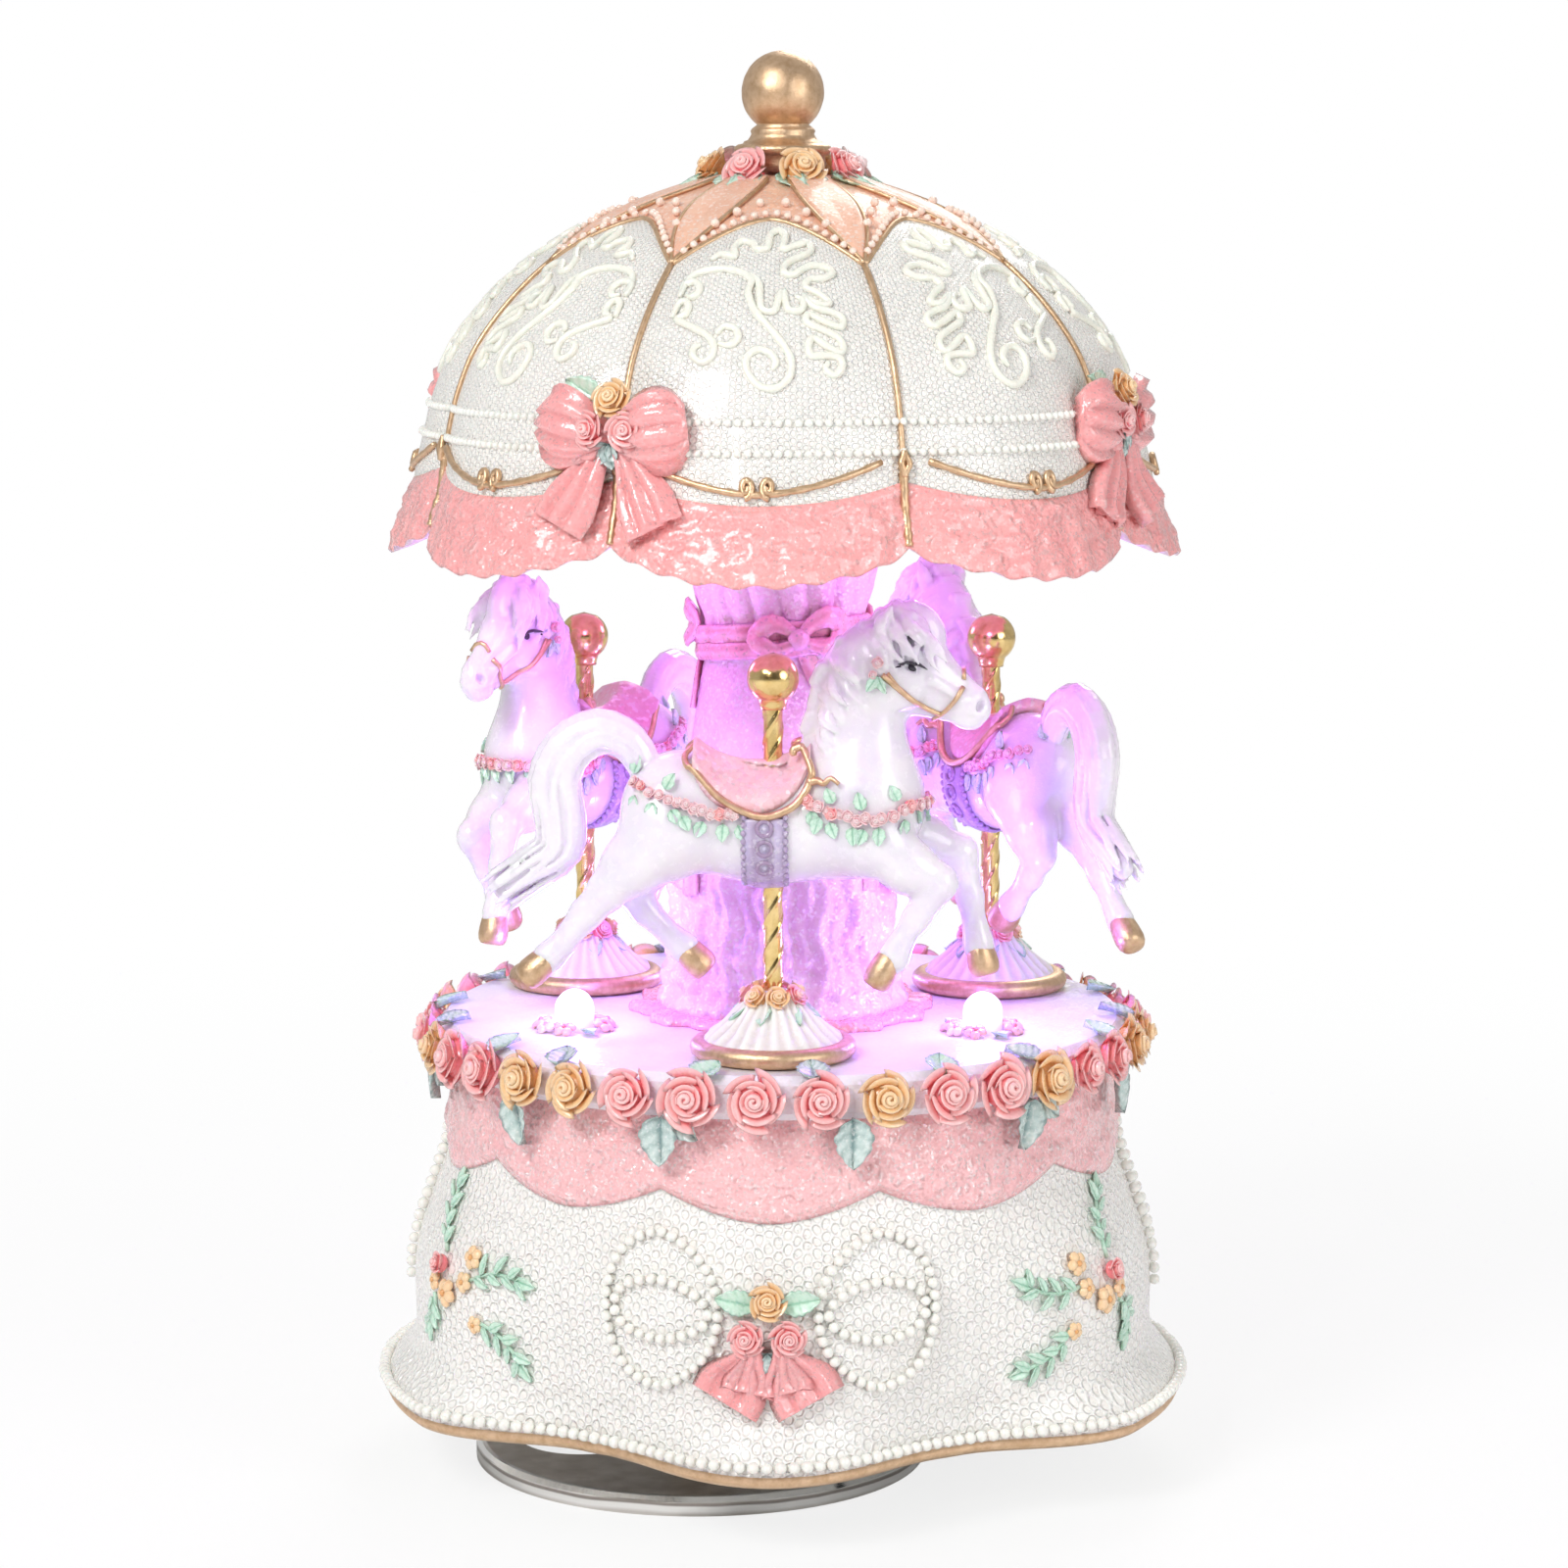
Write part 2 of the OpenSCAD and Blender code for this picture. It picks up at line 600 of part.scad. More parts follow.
// A bore along Y, for a shaft of radius r at x, from just before the face at y.
module shaft_bore(x, y, r) {
    translate([x, y - through, drum_z]) rotate([-90, 0, 0]) cylinder(r = r + run, h = 4);
}

module bearing_bracket() {
    width = 10;
    color(brass) difference() {
        translate([arbor[0] - width / 2, bearing_y[0], plate_z])
            cube([width, bearing_y[1] - bearing_y[0], drum_z - plate_z + 4]);
        shaft_bore(arbor[0], bearing_y[0], axle_r);
    }
}

module gear_bracket() {
    x = [arbor[0] - 6, governor_x + 4];
    color(brass) difference() {
        translate([x[0], gear_bracket_y[0], plate_z])
            cube([x[1] - x[0], gear_bracket_y[1] - gear_bracket_y[0], drum_z - plate_z + 5]);
        shaft_bore(arbor[0], gear_bracket_y[0], axle_r);
        shaft_bore(governor_x, gear_bracket_y[0], fine_axle_r);
    }
}

arm_z = [drum_z - 8.6, drum_z + 6.6];

module governor_bracket() {
    x = [governor_x - 4, worm_x + 4];
    arm = [6, governor_plate_y[0] - worm_y + 2.5, 1.6];
    color(brass) difference() {
        union() {
            translate([x[0], governor_plate_y[0], plate_z])
                cube([x[1] - x[0], governor_plate_y[1] - governor_plate_y[0], arm_z[1] + arm[2] - plate_z]);
            for (z = arm_z) translate([worm_x - arm[0] / 2, worm_y - 2.4, z]) cube(arm);
        }
        shaft_bore(governor_x, governor_plate_y[0], fine_axle_r);
        translate([worm_x, worm_y, arm_z[0] - through])
            cylinder(r = fine_axle_r + run, h = arm_z[1] - arm_z[0] + 4);
    }
}

// ---- Movement: the parts that turn ----
// A spur wheel with narrow teeth, on a bore; its axis is +Z.
module spur(teeth, module_size, root_drop, tip_rise, share, h, bore) {
    pitch_r = teeth * module_size / 2;
    root_r = pitch_r - root_drop;
    tip_r = pitch_r + tip_rise;
    half = 360 * share / teeth / 2;
    linear_extrude(h) difference() {
        polygon([for (k = [0:teeth - 1]) let (a = 360 * k / teeth)
            each [[root_r * cos(a - half * 1.25), root_r * sin(a - half * 1.25)],
                [tip_r * cos(a - half * 0.6), tip_r * sin(a - half * 0.6)],
                [tip_r * cos(a + half * 0.6), tip_r * sin(a + half * 0.6)],
                [root_r * cos(a + half * 1.25), root_r * sin(a + half * 1.25)]]]);
        circle(r = bore);
    }
}

module on_y_axis(x, y, z, turn = 0) {
    translate([x, y, z]) rotate([-90, turn, 0]) children();
}

module note_drum() {
    pin_rows = 14;
    tracks = 17;
    pin_r = 0.22;
    pin_h = 0.9;
    wall = 1.1;
    cap = 1.2;
    length = drum_y[1] - drum_y[0];
    color(brass) on_y_axis(arbor[0], drum_y[0], drum_z) difference() {
        cylinder(r = drum_r, h = length);
        translate([0, 0, cap]) cylinder(r = drum_r - wall, h = length - 2 * cap);
        translate([0, 0, -through]) cylinder(r = axle_r, h = 40);
    }
    color(steel) for (k = [0:pin_rows - 1]) for (j = [0:2])
        translate([arbor[0], drum_y[0] + 2.5 + (k * 5 + j * 7) % tracks, drum_z])
            rotate([0, 360 * k / pin_rows + j * 9, 0])
                translate([0, 0, drum_r - 0.3]) cylinder(r = pin_r, h = pin_h, $fn = 16);
}

module drum_axle() {
    stub = 0.4;
    color(steel) on_y_axis(arbor[0], bearing_y[0] - stub, drum_z)
        cylinder(r = axle_r, h = gear_bracket_y[1] - bearing_y[0] + 2 * stub);
}

module drum_pinion() {
    color(brass) on_y_axis(arbor[0], arbor[1] - crown_r - 1.2, drum_z, 360 / pinion_teeth / 2 + 90)
        spur(pinion_teeth, 1, 1.3, 0.65, 0.36, 2.4, axle_r);
}

module drum_wheel() {
    color(brass) on_y_axis(arbor[0], wheel_y[0], drum_z)
        spur(drum_wheel_teeth, fine_module, 0.62, 0.42, 0.36, wheel_y[1] - wheel_y[0], axle_r);
}

module governor_arbor() {
    color(steel) on_y_axis(governor_x, wheel_y[0], drum_z, 180 / governor_pinion_teeth) {
        spur(governor_pinion_teeth, fine_module, 0.62, 0.42, 0.36, wheel_y[1] - wheel_y[0], fine_axle_r);
        cylinder(r = fine_axle_r, h = governor_plate_y[1] - wheel_y[0] + 0.3);
    }
}

module worm_wheel() {
    color(brass) on_y_axis(governor_x, worm_wheel_y[0], drum_z)
        spur(worm_wheel_teeth, fine_module, 0.6, 0.35, 0.3, worm_wheel_y[1] - worm_wheel_y[0], fine_axle_r);
}

worm_length = 5 * worm_lead;
fan_z = arm_z[1] + 2.2;
fan_h = 4.2;

module governor_worm() {
    root_r = 1.45;
    crest_r = 2.3;
    points_n = 18;
    foot_z = arm_z[0] + 0.4;
    // The crest faces away from the worm wheel at the wheel's own height, where the wheel has a tooth.
    worm_phase = 180;
    // Radius of the thread's section at its point i: a crest 84 degrees wide, with sloping flanks
    function thread_r(i) = let (a = 360 * i / points_n, d = a > 180 ? 360 - a : a)
        d < 42 ? crest_r : d < 62 ? crest_r - (crest_r - root_r) * (d - 42) / 20 : root_r;
    color(steel) translate([worm_x, worm_y, 0]) {
        translate([0, 0, drum_z - worm_length / 2])
            linear_extrude(height = worm_length, twist = -360 * worm_length / worm_lead, slices = 50,
                    $fn = points_n)
                rotate([0, 0, worm_phase]) polygon([for (i = [0:points_n - 1]) let (a = 360 * i / points_n)
                    [thread_r(i) * cos(a), thread_r(i) * sin(a)]]);
        translate([0, 0, foot_z]) cylinder(r = fine_axle_r, h = fan_z + fan_h - foot_z, $fn = 16);
    }
}

module governor_fan() {
    color([0.2, 0.2, 0.22]) translate([worm_x, worm_y, fan_z]) {
        difference() {
            cylinder(r = 1.8, h = fan_h);
            translate([0, 0, -through]) cylinder(r = fine_axle_r, h = 7);
        }
        for (a = [0, 180]) rotate([0, 0, a]) translate([1.5, -0.3, 0]) cube([3.6, 0.6, fan_h]);
    }
}

// ---- Battery box and switch ----
cell_r = 5.8;
cell_t = 5.4;
battery_top = 26;
cell_at = [(door_x[0] + door_x[1]) / 2, 18.6];
door_screw_y = 9.7;
door_screw_r = 0.7;

module battery_box() {
    wall = 1;
    outer = [door_x[1] - door_x[0] + 0.4, 22.4, battery_top - floor_z];
    color("whitesmoke") translate([door_x[0] - 0.2, -outer[1] / 2, floor_z]) difference() {
        cube(outer);
        translate([wall, 3, -1]) cube([outer[0] - 2 * wall, outer[1] - 6, outer[2] - wall + 1]);
        translate([outer[0] / 2, outer[1] - 1.5, -1]) cylinder(r = 0.8, h = 6);
    }
}

module button_cells() {
    color([0.8, 0.8, 0.82]) for (k = [-1:1])
        translate([cell_at[0], (k - 0.5) * (cell_t + 0.05), cell_at[1]])
            rotate([-90, 0, 0]) cylinder(r = cell_r, h = cell_t);
}

module battery_door() {
    color("whitesmoke") difference() {
        translate([door_x[0] + 0.2, door_y[0] + 0.2, cover_z])
            cube([door_x[1] - door_x[0] - 0.4, door_y[1] - door_y[0] - 0.4, cover_t - 0.1]);
        translate([cell_at[0], door_screw_y, cover_z - through]) cylinder(r = door_screw_r + 0.05, h = 5);
        for (k = [0:3]) translate([cell_at[0] - 3, -4 + k * 2, cover_z - 0.1]) cube([6, 0.8, 0.5]);
    }
}

module door_screw() {
    color(steel) translate([cell_at[0], door_screw_y, cover_z]) screw(door_screw_r, 4.6, 1.5);
}

module switch_body() {
    body = [8.8, 4.4, 4];
    color([0.25, 0.25, 0.27]) translate([switch_at[0], switch_at[1], floor_z]) difference() {
        translate([-body[0] / 2, -body[1] / 2, 0]) cube(body);
        translate([-2.4, -0.8, -0.1]) cube([4.8, 1.6, 2.2]);
    }
}

module switch_knob() {
    knob = [2.2, 1.4, 4.2];
    color([0.15, 0.15, 0.16]) translate([switch_at[0] - knob[0], switch_at[1] - knob[1] / 2, base_z + 0.3])
        cube(knob);
}

winding_disc();
disc_collar();
winding_arbor();
crown_gear();
base_shell();
bottom_cover();
cover_screws();
deck();
deck_roses();
deck_leaves();
column();
column_rug();
column_bow();
canopy();
canopy_bows();
canopy_bow_roses();
canopy_wreath();
finial();
pedestal(horse_phis[0]);  // pedestal_1
pedestal(horse_phis[1]);  // pedestal_2
pedestal(horse_phis[2]);  // pedestal_3
pole(horse_phis[0]);  // pole_1
pole(horse_phis[1]);  // pole_2
pole(horse_phis[2]);  // pole_3
pole_ball(horse_phis[0]);  // pole_ball_1
pole_ball(horse_phis[1]);  // pole_ball_2
pole_ball(horse_phis[2]);  // pole_ball_3
horse(horse_phis[0]);  // horse_1
horse(horse_phis[1]);  // horse_2
horse(horse_phis[2]);  // horse_3
lamp(lamp_phis[0]);  // lamp_1
lamp(lamp_phis[1]);  // lamp_2
lamp(lamp_phis[2]);  // lamp_3
lamp_collars();
lamp_wires();
bedplate();
bedplate_screws();
spring_barrel();
mainspring();
comb();
comb_block();
comb_screws();
bearing_bracket();
gear_bracket();
governor_bracket();
note_drum();
drum_axle();
drum_pinion();
drum_wheel();
governor_arbor();
worm_wheel();
governor_worm();
governor_fan();
battery_box();
button_cells();
switch_body();
switch_knob();
battery_door();
door_screw();
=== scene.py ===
"""The carousel music box's visual model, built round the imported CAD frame.

Shapes are worked out in millimetres, in the row's own frame, and turned into metres when a piece is made.
A direction round the carousel is an angle phi in degrees, counted from the front (-Y) towards +X.
"""
import json
import math
import random

import bmesh
import bpy
import numpy as np
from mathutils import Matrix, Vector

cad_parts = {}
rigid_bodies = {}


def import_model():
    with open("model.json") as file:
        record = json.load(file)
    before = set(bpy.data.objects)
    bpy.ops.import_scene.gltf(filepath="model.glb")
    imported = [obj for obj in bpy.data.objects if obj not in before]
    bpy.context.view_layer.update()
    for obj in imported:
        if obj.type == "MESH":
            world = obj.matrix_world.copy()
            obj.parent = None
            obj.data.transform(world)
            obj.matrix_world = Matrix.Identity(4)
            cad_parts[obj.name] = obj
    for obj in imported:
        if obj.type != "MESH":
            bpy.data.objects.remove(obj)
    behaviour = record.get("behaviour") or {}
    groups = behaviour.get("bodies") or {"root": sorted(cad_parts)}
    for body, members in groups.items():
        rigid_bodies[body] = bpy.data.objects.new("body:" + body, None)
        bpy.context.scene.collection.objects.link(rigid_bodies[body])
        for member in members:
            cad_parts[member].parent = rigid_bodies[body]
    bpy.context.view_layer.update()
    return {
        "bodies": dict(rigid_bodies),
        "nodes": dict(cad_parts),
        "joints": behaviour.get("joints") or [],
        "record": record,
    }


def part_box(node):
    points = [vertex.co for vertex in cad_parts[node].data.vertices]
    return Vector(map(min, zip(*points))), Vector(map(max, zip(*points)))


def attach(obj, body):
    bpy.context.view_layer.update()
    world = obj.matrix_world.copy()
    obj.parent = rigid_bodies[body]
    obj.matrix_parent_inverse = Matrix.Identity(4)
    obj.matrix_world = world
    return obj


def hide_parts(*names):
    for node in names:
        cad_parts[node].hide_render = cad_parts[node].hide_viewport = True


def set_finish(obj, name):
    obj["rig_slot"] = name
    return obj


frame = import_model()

import openvdb
from mathutils import Matrix, Vector, noise
from mathutils.bvhtree import BVHTree

MM = 0.001
TAU = 2 * math.pi
UP = Vector((0, 0, 1))


# ---------------------------------------------------------------- sizes read from the frame, in mm
def cad(node):
    """Lowest and highest corner of a CAD node, in mm."""
    low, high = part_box(node)
    return low / MM, high / MM


BASE_Z = cad("base_shell")[0].z
BASE_TOP = cad("base_shell")[1].z
DECK_Z = cad("deck")[1].z
DECK_UNDER = cad("deck")[0].z
DECK_R = cad("deck")[1].x
TOP_Z = cad("finial")[1].z
POLE = (cad("pole_1")[0] + cad("pole_1")[1]) / 2
POLE_RING = -POLE.y
POLE_R = (cad("pole_1")[1].x - cad("pole_1")[0].x) / 2
DISC_LOW, DISC_HIGH = cad("winding_disc")
LAMP_TOP = cad("lamp_1")[1].z
LAMP_RING = ((cad("lamp_2")[0] + cad("lamp_2")[1]) / 2).y
HORSE_PHIS = (0, 120, 240)
LAMP_PHIS = (60, 180, 300)
CANOPY_TURN = -1.5
PANEL, HALF_PANEL = 45, 22.5
PANEL_PHIS = [PANEL * k + CANOPY_TURN for k in range(8)]
RIB_PHIS = [PANEL * k + HALF_PANEL + CANOPY_TURN for k in range(8)]
BOW_PHIS = [2 * PANEL * k - HALF_PANEL + CANOPY_TURN for k in range(4)]
BOW_Z = 135
COLUMN_TOP = 158      # hidden inside the canopy
FINIAL_R = 5.25
PETAL_REACH = 15.0    # how far a rib's petal spreads, in degrees
ARC_R = 47            # radius used to turn millimetres along the base into degrees


# ---------------------------------------------------------------- making meshes
def polar(phi, r, z):
    a = math.radians(phi)
    return Vector((r * math.sin(a), -r * math.cos(a), z))


def lerp(a, b, t):
    return a + (b - a) * t


def smooth(t):
    t = min(1.0, max(0.0, t))
    return t * t * (3 - 2 * t)


def heading(p):
    """The direction phi of a point."""
    return math.degrees(math.atan2(p.x, -p.y))


def new_object(name, data):
    obj = bpy.data.objects.new(name, data)
    bpy.context.scene.collection.objects.link(obj)
    return obj


def set_shade(mesh, values):
    """How open each point is: materials paint shade with it, darkening the colour towards 0 in creases and
    hollows.
    """
    mesh.attributes.new("shade", "FLOAT", "POINT").data.foreach_set("value", values)


class Piece:
    """Geometry of one named piece: points in mm, faces, and for each face the number of its material."""

    def __init__(self, name, *materials):
        self.name = name
        self.materials = materials
        self.points = []
        self.faces = []
        self.paint = []
        self.shade = []

    def add(self, points, faces, material=0, shade=None):
        start = len(self.points)
        self.points.extend(tuple(p) for p in points)
        self.faces.extend([tuple(i + start for i in f) for f in faces])
        self.paint.extend([material] * len(faces))
        self.shade.extend(shade if shade is not None else [1.0] * len(points))

    def grid(self, point, nu, nv, closed_u=False, closed_v=False, material=0, flip=False, shade=None):
        """A surface through point(i, j); closed directions wrap round."""
        points = [point(i, j) for i in range(nu) for j in range(nv)]
        faces = []
        for i in range(nu if closed_u else nu - 1):
            for j in range(nv if closed_v else nv - 1):
                a, b = i * nv + j, i * nv + (j + 1) % nv
                c, d = (i + 1) % nu * nv + (j + 1) % nv, (i + 1) % nu * nv + j
                faces.append((a, b, c, d) if flip else (a, d, c, b))
        values = [shade(i, j) for i in range(nu) for j in range(nv)] if shade else None
        self.add(points, faces, material, values)

    def tube(self, path, radius, sides=8, material=0, flat=1.0, closed=False, normals=None, shade=None):
        """A round or flattened tube along a path of points; radius is a number or one for each point."""
        n = len(path)
        radii = radius if isinstance(radius, (list, tuple)) else [radius] * n
        side = Vector((0.31, 0.62, 0.72))
        rings = []
        for i in range(n):
            ahead = path[(i + 1) % n] if closed else path[min(i + 1, n - 1)]
            behind = path[i - 1] if closed or i else path[0]
            along = (ahead - behind).normalized()
            if normals:
                out = (normals[i] - along * normals[i].dot(along)).normalized()
                side = along.cross(out)
            else:
                side = (side - along * side.dot(along)).normalized()
                out = side.cross(along)
            rings.append([path[i] + (side * math.cos(TAU * k / sides)
                                     + out * (flat * math.sin(TAU * k / sides))) * radii[i]
                          for k in range(sides)])
        start = len(self.points)
        self.grid(lambda i, k: rings[i][k], n, sides, closed, True, material, True,
                  None if shade is None else lambda i, k: shade)
        if not closed:
            ends = list(range(sides))
            self.faces += [tuple(start + k for k in ends[::-1]),
                           tuple(start + (n - 1) * sides + k for k in ends)]
            self.paint += [material] * 2

    def ball(self, centre, r, material=0, squash=1.0, normal=None, rings=7, sides=10, shade=None):
        """A sphere, flattened along normal by squash."""
        axis = (normal or UP).normalized()
        side = axis.orthogonal().normalized()
        other = axis.cross(side)
        points = [centre + axis * r * squash]
        for i in range(1, rings):
            a = math.pi * i / rings
            for k in range(sides):
                b = TAU * k / sides
                points.append(centre + axis * (r * squash * math.cos(a))
                              + (side * math.cos(b) + other * math.sin(b)) * (r * math.sin(a)))
        points.append(centre - axis * r * squash)
        faces = [(0, 1 + k, 1 + (k + 1) % sides) for k in range(sides)]
        for i in range(rings - 2):
            for k in range(sides):
                a, b = 1 + i * sides + k, 1 + i * sides + (k + 1) % sides
                faces.append((a, a + sides, b + sides, b))
        last = len(points) - 1
        faces += [(last, last - sides + (k + 1) % sides, last - sides + k) for k in range(sides)]
        self.add(points, faces, material, [shade] * len(points) if shade is not None else None)

    def lathe(self, profile, turns=64, centre=Vector((0, 0, 0)), material=0, ripple=None):
        """A turned solid from a profile of (radius, z) that closes on itself or ends on the axis."""
        def at(i, j):
            a, (r, z) = TAU * i / turns, profile[j]
            r += ripple(a, z, r) if ripple else 0
            return centre + Vector((r * math.sin(a), -r * math.cos(a), z))

        self.grid(at, turns, len(profile), True, True, material)

    def make(self, slot="pearl_resin", replaces=()):
        """Turns the piece into a Blender object that rides on the carousel."""
        mesh = bpy.data.meshes.new(self.name)
        mesh.from_pydata([(x * MM, y * MM, z * MM) for x, y, z in self.points], [], self.faces)
        for m in self.materials:
            mesh.materials.append(m)
        mesh.polygons.foreach_set("material_index", self.paint)
        mesh.polygons.foreach_set("use_smooth", [True] * len(self.faces))
        set_shade(mesh, self.shade)
        bm = bmesh.new()
        bm.from_mesh(mesh)
        bmesh.ops.remove_doubles(bm, verts=bm.verts, dist=1e-7)
        bmesh.ops.dissolve_degenerate(bm, edges=bm.edges, dist=1e-8)
        bmesh.ops.recalc_face_normals(bm, faces=bm.faces)
        bm.to_mesh(mesh)
        bm.free()
        obj = new_object(self.name, mesh)
        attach(obj, "carousel")
        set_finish(obj, slot)
        if replaces:
            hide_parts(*replaces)
        return obj


# ---------------------------------------------------------------- materials
class Graph:
    """A node tree being wired up. A socket takes a number, a tuple, or the socket that feeds it."""

    def __init__(self, tree):
        self.nodes, self.links = tree.nodes, tree.links

    def feed(self, node, sockets):
        for key, value in sockets.items():
            socket = node.inputs[key]
            if isinstance(value, (int, float)):
                socket.default_value = value
            elif isinstance(value, tuple):
                socket.default_value = value + (1,) * (len(socket.default_value) - len(value))
            else:
                self.links.new(value, socket)

    def node(self, kind, sockets=None, **settings):
        node = self.nodes.new("ShaderNode" + kind)
        for key, value in settings.items():
            setattr(node, key, value)
        self.feed(node, sockets or {})
        return node

    def place(self, scale=1000.0):
        """Object coordinates, in millimetres unless a scale is given."""
        coords = self.node("TexCoord").outputs["Object"]
        return self.node("Mapping", {"Scale": (scale,) * 3, "Vector": coords}).outputs["Vector"]

    def noise(self, where, scale, detail=3.0, rough=0.55, **settings):
        sockets = {"Scale": scale, "Detail": detail, "Roughness": rough, "Vector": where}
        return self.node("TexNoise", sockets, **settings).outputs["Fac"]

    def ramp(self, value, *stops):
        """A colour ramp through (position, colour) stops; a number stands for a grey."""
        node = self.node("ValToRGB", {"Fac": value})
        while len(node.color_ramp.elements) < len(stops):
            node.color_ramp.elements.new(0.5)
        for element, (position, colour) in zip(node.color_ramp.elements, stops):
            element.position = position
            element.color = (colour,) * 3 + (1,) if isinstance(colour, (int, float)) else (*colour, 1)
        return node.outputs["Color"]

    def math(self, op, *values):
        return self.node("Math", dict(enumerate(values)), operation=op).outputs[0]

    def vector(self, op, *values, **named):
        return self.node("VectorMath", {**dict(enumerate(values)), **named}, operation=op).outputs

    def mix(self, fac, a, b):
        return self.node("Mix", {0: fac, 6: a, 7: b}, data_type="RGBA").outputs[2]

    def bump(self, height, strength, distance, normal=None):
        """A bumped normal; distance is in millimetres."""
        sockets = {"Strength": strength, "Distance": distance * MM, "Height": height}
        if normal is not None:
            sockets["Normal"] = normal
        return self.node("Bump", sockets).outputs["Normal"]

    def shade(self):
        return self.node("Attribute", attribute_name="shade").outputs["Fac"]

    def split(self, vector):
        return self.node("SeparateXYZ", {0: vector}).outputs

    def between(self, value, low, high, start=0.0, **settings):
        """0 or start at low, rising to 1 at high."""
        sockets = {"Value": value, "From Min": low, "From Max": high, "To Min": start}
        return self.node("MapRange", sockets, **settings).outputs["Result"]


class Material(Graph):
    def __init__(self, name):
        self.made = bpy.data.materials.new(name)
        self.made.use_nodes = True
        super().__init__(self.made.node_tree)
        self.surface = self.nodes["Principled BSDF"]

    def finish(self, sockets):
        self.feed(self.surface, sockets)
        return self.made


def toned(colour, *factors):
    return tuple(c * k for c, k in zip(colour, factors))


def honeycomb(mat, where, pitch, radius, middle=None):
    """Three crossed waves laid round the axis: 0 on the threads of a hexagonal net and 1 in its cells."""
    x, y, z = mat.split(where)
    across = mat.math("MULTIPLY", mat.math("ARCTAN2", x, y), radius)
    height = z
    if middle is not None:
        out = mat.math("SQRT", mat.math("ADD", mat.math("MULTIPLY", x, x), mat.math("MULTIPLY", y, y)))
        height = mat.math("MULTIPLY", mat.math("ARCTAN2", mat.math("SUBTRACT", z, middle), out), radius)
    height = mat.math("ADD", height, mat.math("MULTIPLY", mat.noise(where, 0.25, 2.0), 1.5 * pitch))
    wave = 2 * round(TAU * radius / (math.sqrt(3) * pitch)) / radius
    total = None
    for turn in (0, 60, 120):
        a = math.radians(turn)
        run = mat.math("ADD", mat.math("MULTIPLY", across, wave * math.cos(a)),
                       mat.math("MULTIPLY", height, wave * math.sin(a)))
        one = mat.math("COSINE", run)
        total = one if total is None else mat.math("ADD", total, one)
    return mat.math("DIVIDE", mat.math("ADD", total, 1.5), 4.5)


def resin(name, light, dark, flake=0.32, sparkle=0.3, gloss=0.28, glow=0.12, grain=0.45, speck=None,
          crackle=0.0, net=None, fleck_and_glint=0.25, shine=0.3):
    """Cast resin with glitter flakes in it: each flake is a small cell that leans its own way."""
    mat = Material(name)
    where = mat.place()
    base = mat.ramp(mat.noise(where, 0.22, 4.0), (0.3, dark), (0.7, light))
    # painted shade: low values of the shade attribute darken the colour in creases
    base = mat.mix(mat.ramp(mat.shade(), (0.0, 1.0), (1.0, 0.0)), base, toned(dark, 0.7, 0.58, 0.58))
    relief = None
    if crackle:
        worms = mat.noise(where, 0.85, 3.0, 0.6, noise_type="RIDGED_MULTIFRACTAL")
        relief = mat.bump(worms, 0.8, crackle)
        base = mat.mix(mat.ramp(worms, (0.2, 0.6), (0.42, 0.0)), base, toned(dark, 0.96, 0.72, 0.72))
    relief = mat.bump(mat.noise(where, 3.2, 3.0, 0.65), grain, 0.14, relief)
    if speck:
        base = mat.mix(mat.ramp(mat.noise(where, 0.9, 3.0, 0.7), (0.64, 0.0), (0.7, 0.7)), base, speck)
    if net:
        cell = honeycomb(mat, where, *net)
        strand = mat.ramp(cell, (0.06, 1.0), (0.38, 0.0))
        relief = mat.bump(strand, 0.85, 0.3, relief)
        # painted shade: the net's cells, its hollows, are coloured darker
        base = mat.mix(mat.ramp(cell, (0.2, 0.0), (0.6, 0.55)), base, toned(dark, 0.96, 0.96, 0.96))
    cells = mat.node("TexVoronoi", {"Scale": 1.0 / flake, "Vector": where}).outputs["Color"]
    pick, level, _ = mat.node("SeparateColor", {"Color": cells}).outputs
    flakes = mat.ramp(pick, (0.78, 0.0), (0.84, 1.0))
    # the glitter flakes are mixed towards white: partly their own pale colour, partly painted glints
    colour = mat.mix(mat.math("MULTIPLY", flakes, fleck_and_glint), base, (1.0, 0.99, 0.99))
    if net:
        # painted highlight: the raised threads are coloured paler
        colour = mat.mix(mat.math("MULTIPLY", strand, 0.55), colour, (0.975, 0.965, 0.935))
    lean = mat.vector("SCALE", mat.vector("SUBTRACT", cells, (0.5, 0.5, 0.5))[0], Scale=sparkle)[0]
    return mat.finish({
        "Base Color": colour, "Normal": mat.vector("NORMALIZE", mat.vector("ADD", relief, lean)[0])[0],
        "Roughness": mat.ramp(level, (0.0, gloss), (1.0, min(1.0, gloss + 0.25))),
        "Metallic": mat.math("MULTIPLY", flakes, 0.3), "Subsurface Weight": glow,
        "Subsurface Radius": (1.0, 0.7, 0.6), "Subsurface Scale": 1.2 * MM, "Coat Weight": shine,
        "Coat Roughness": 0.08})


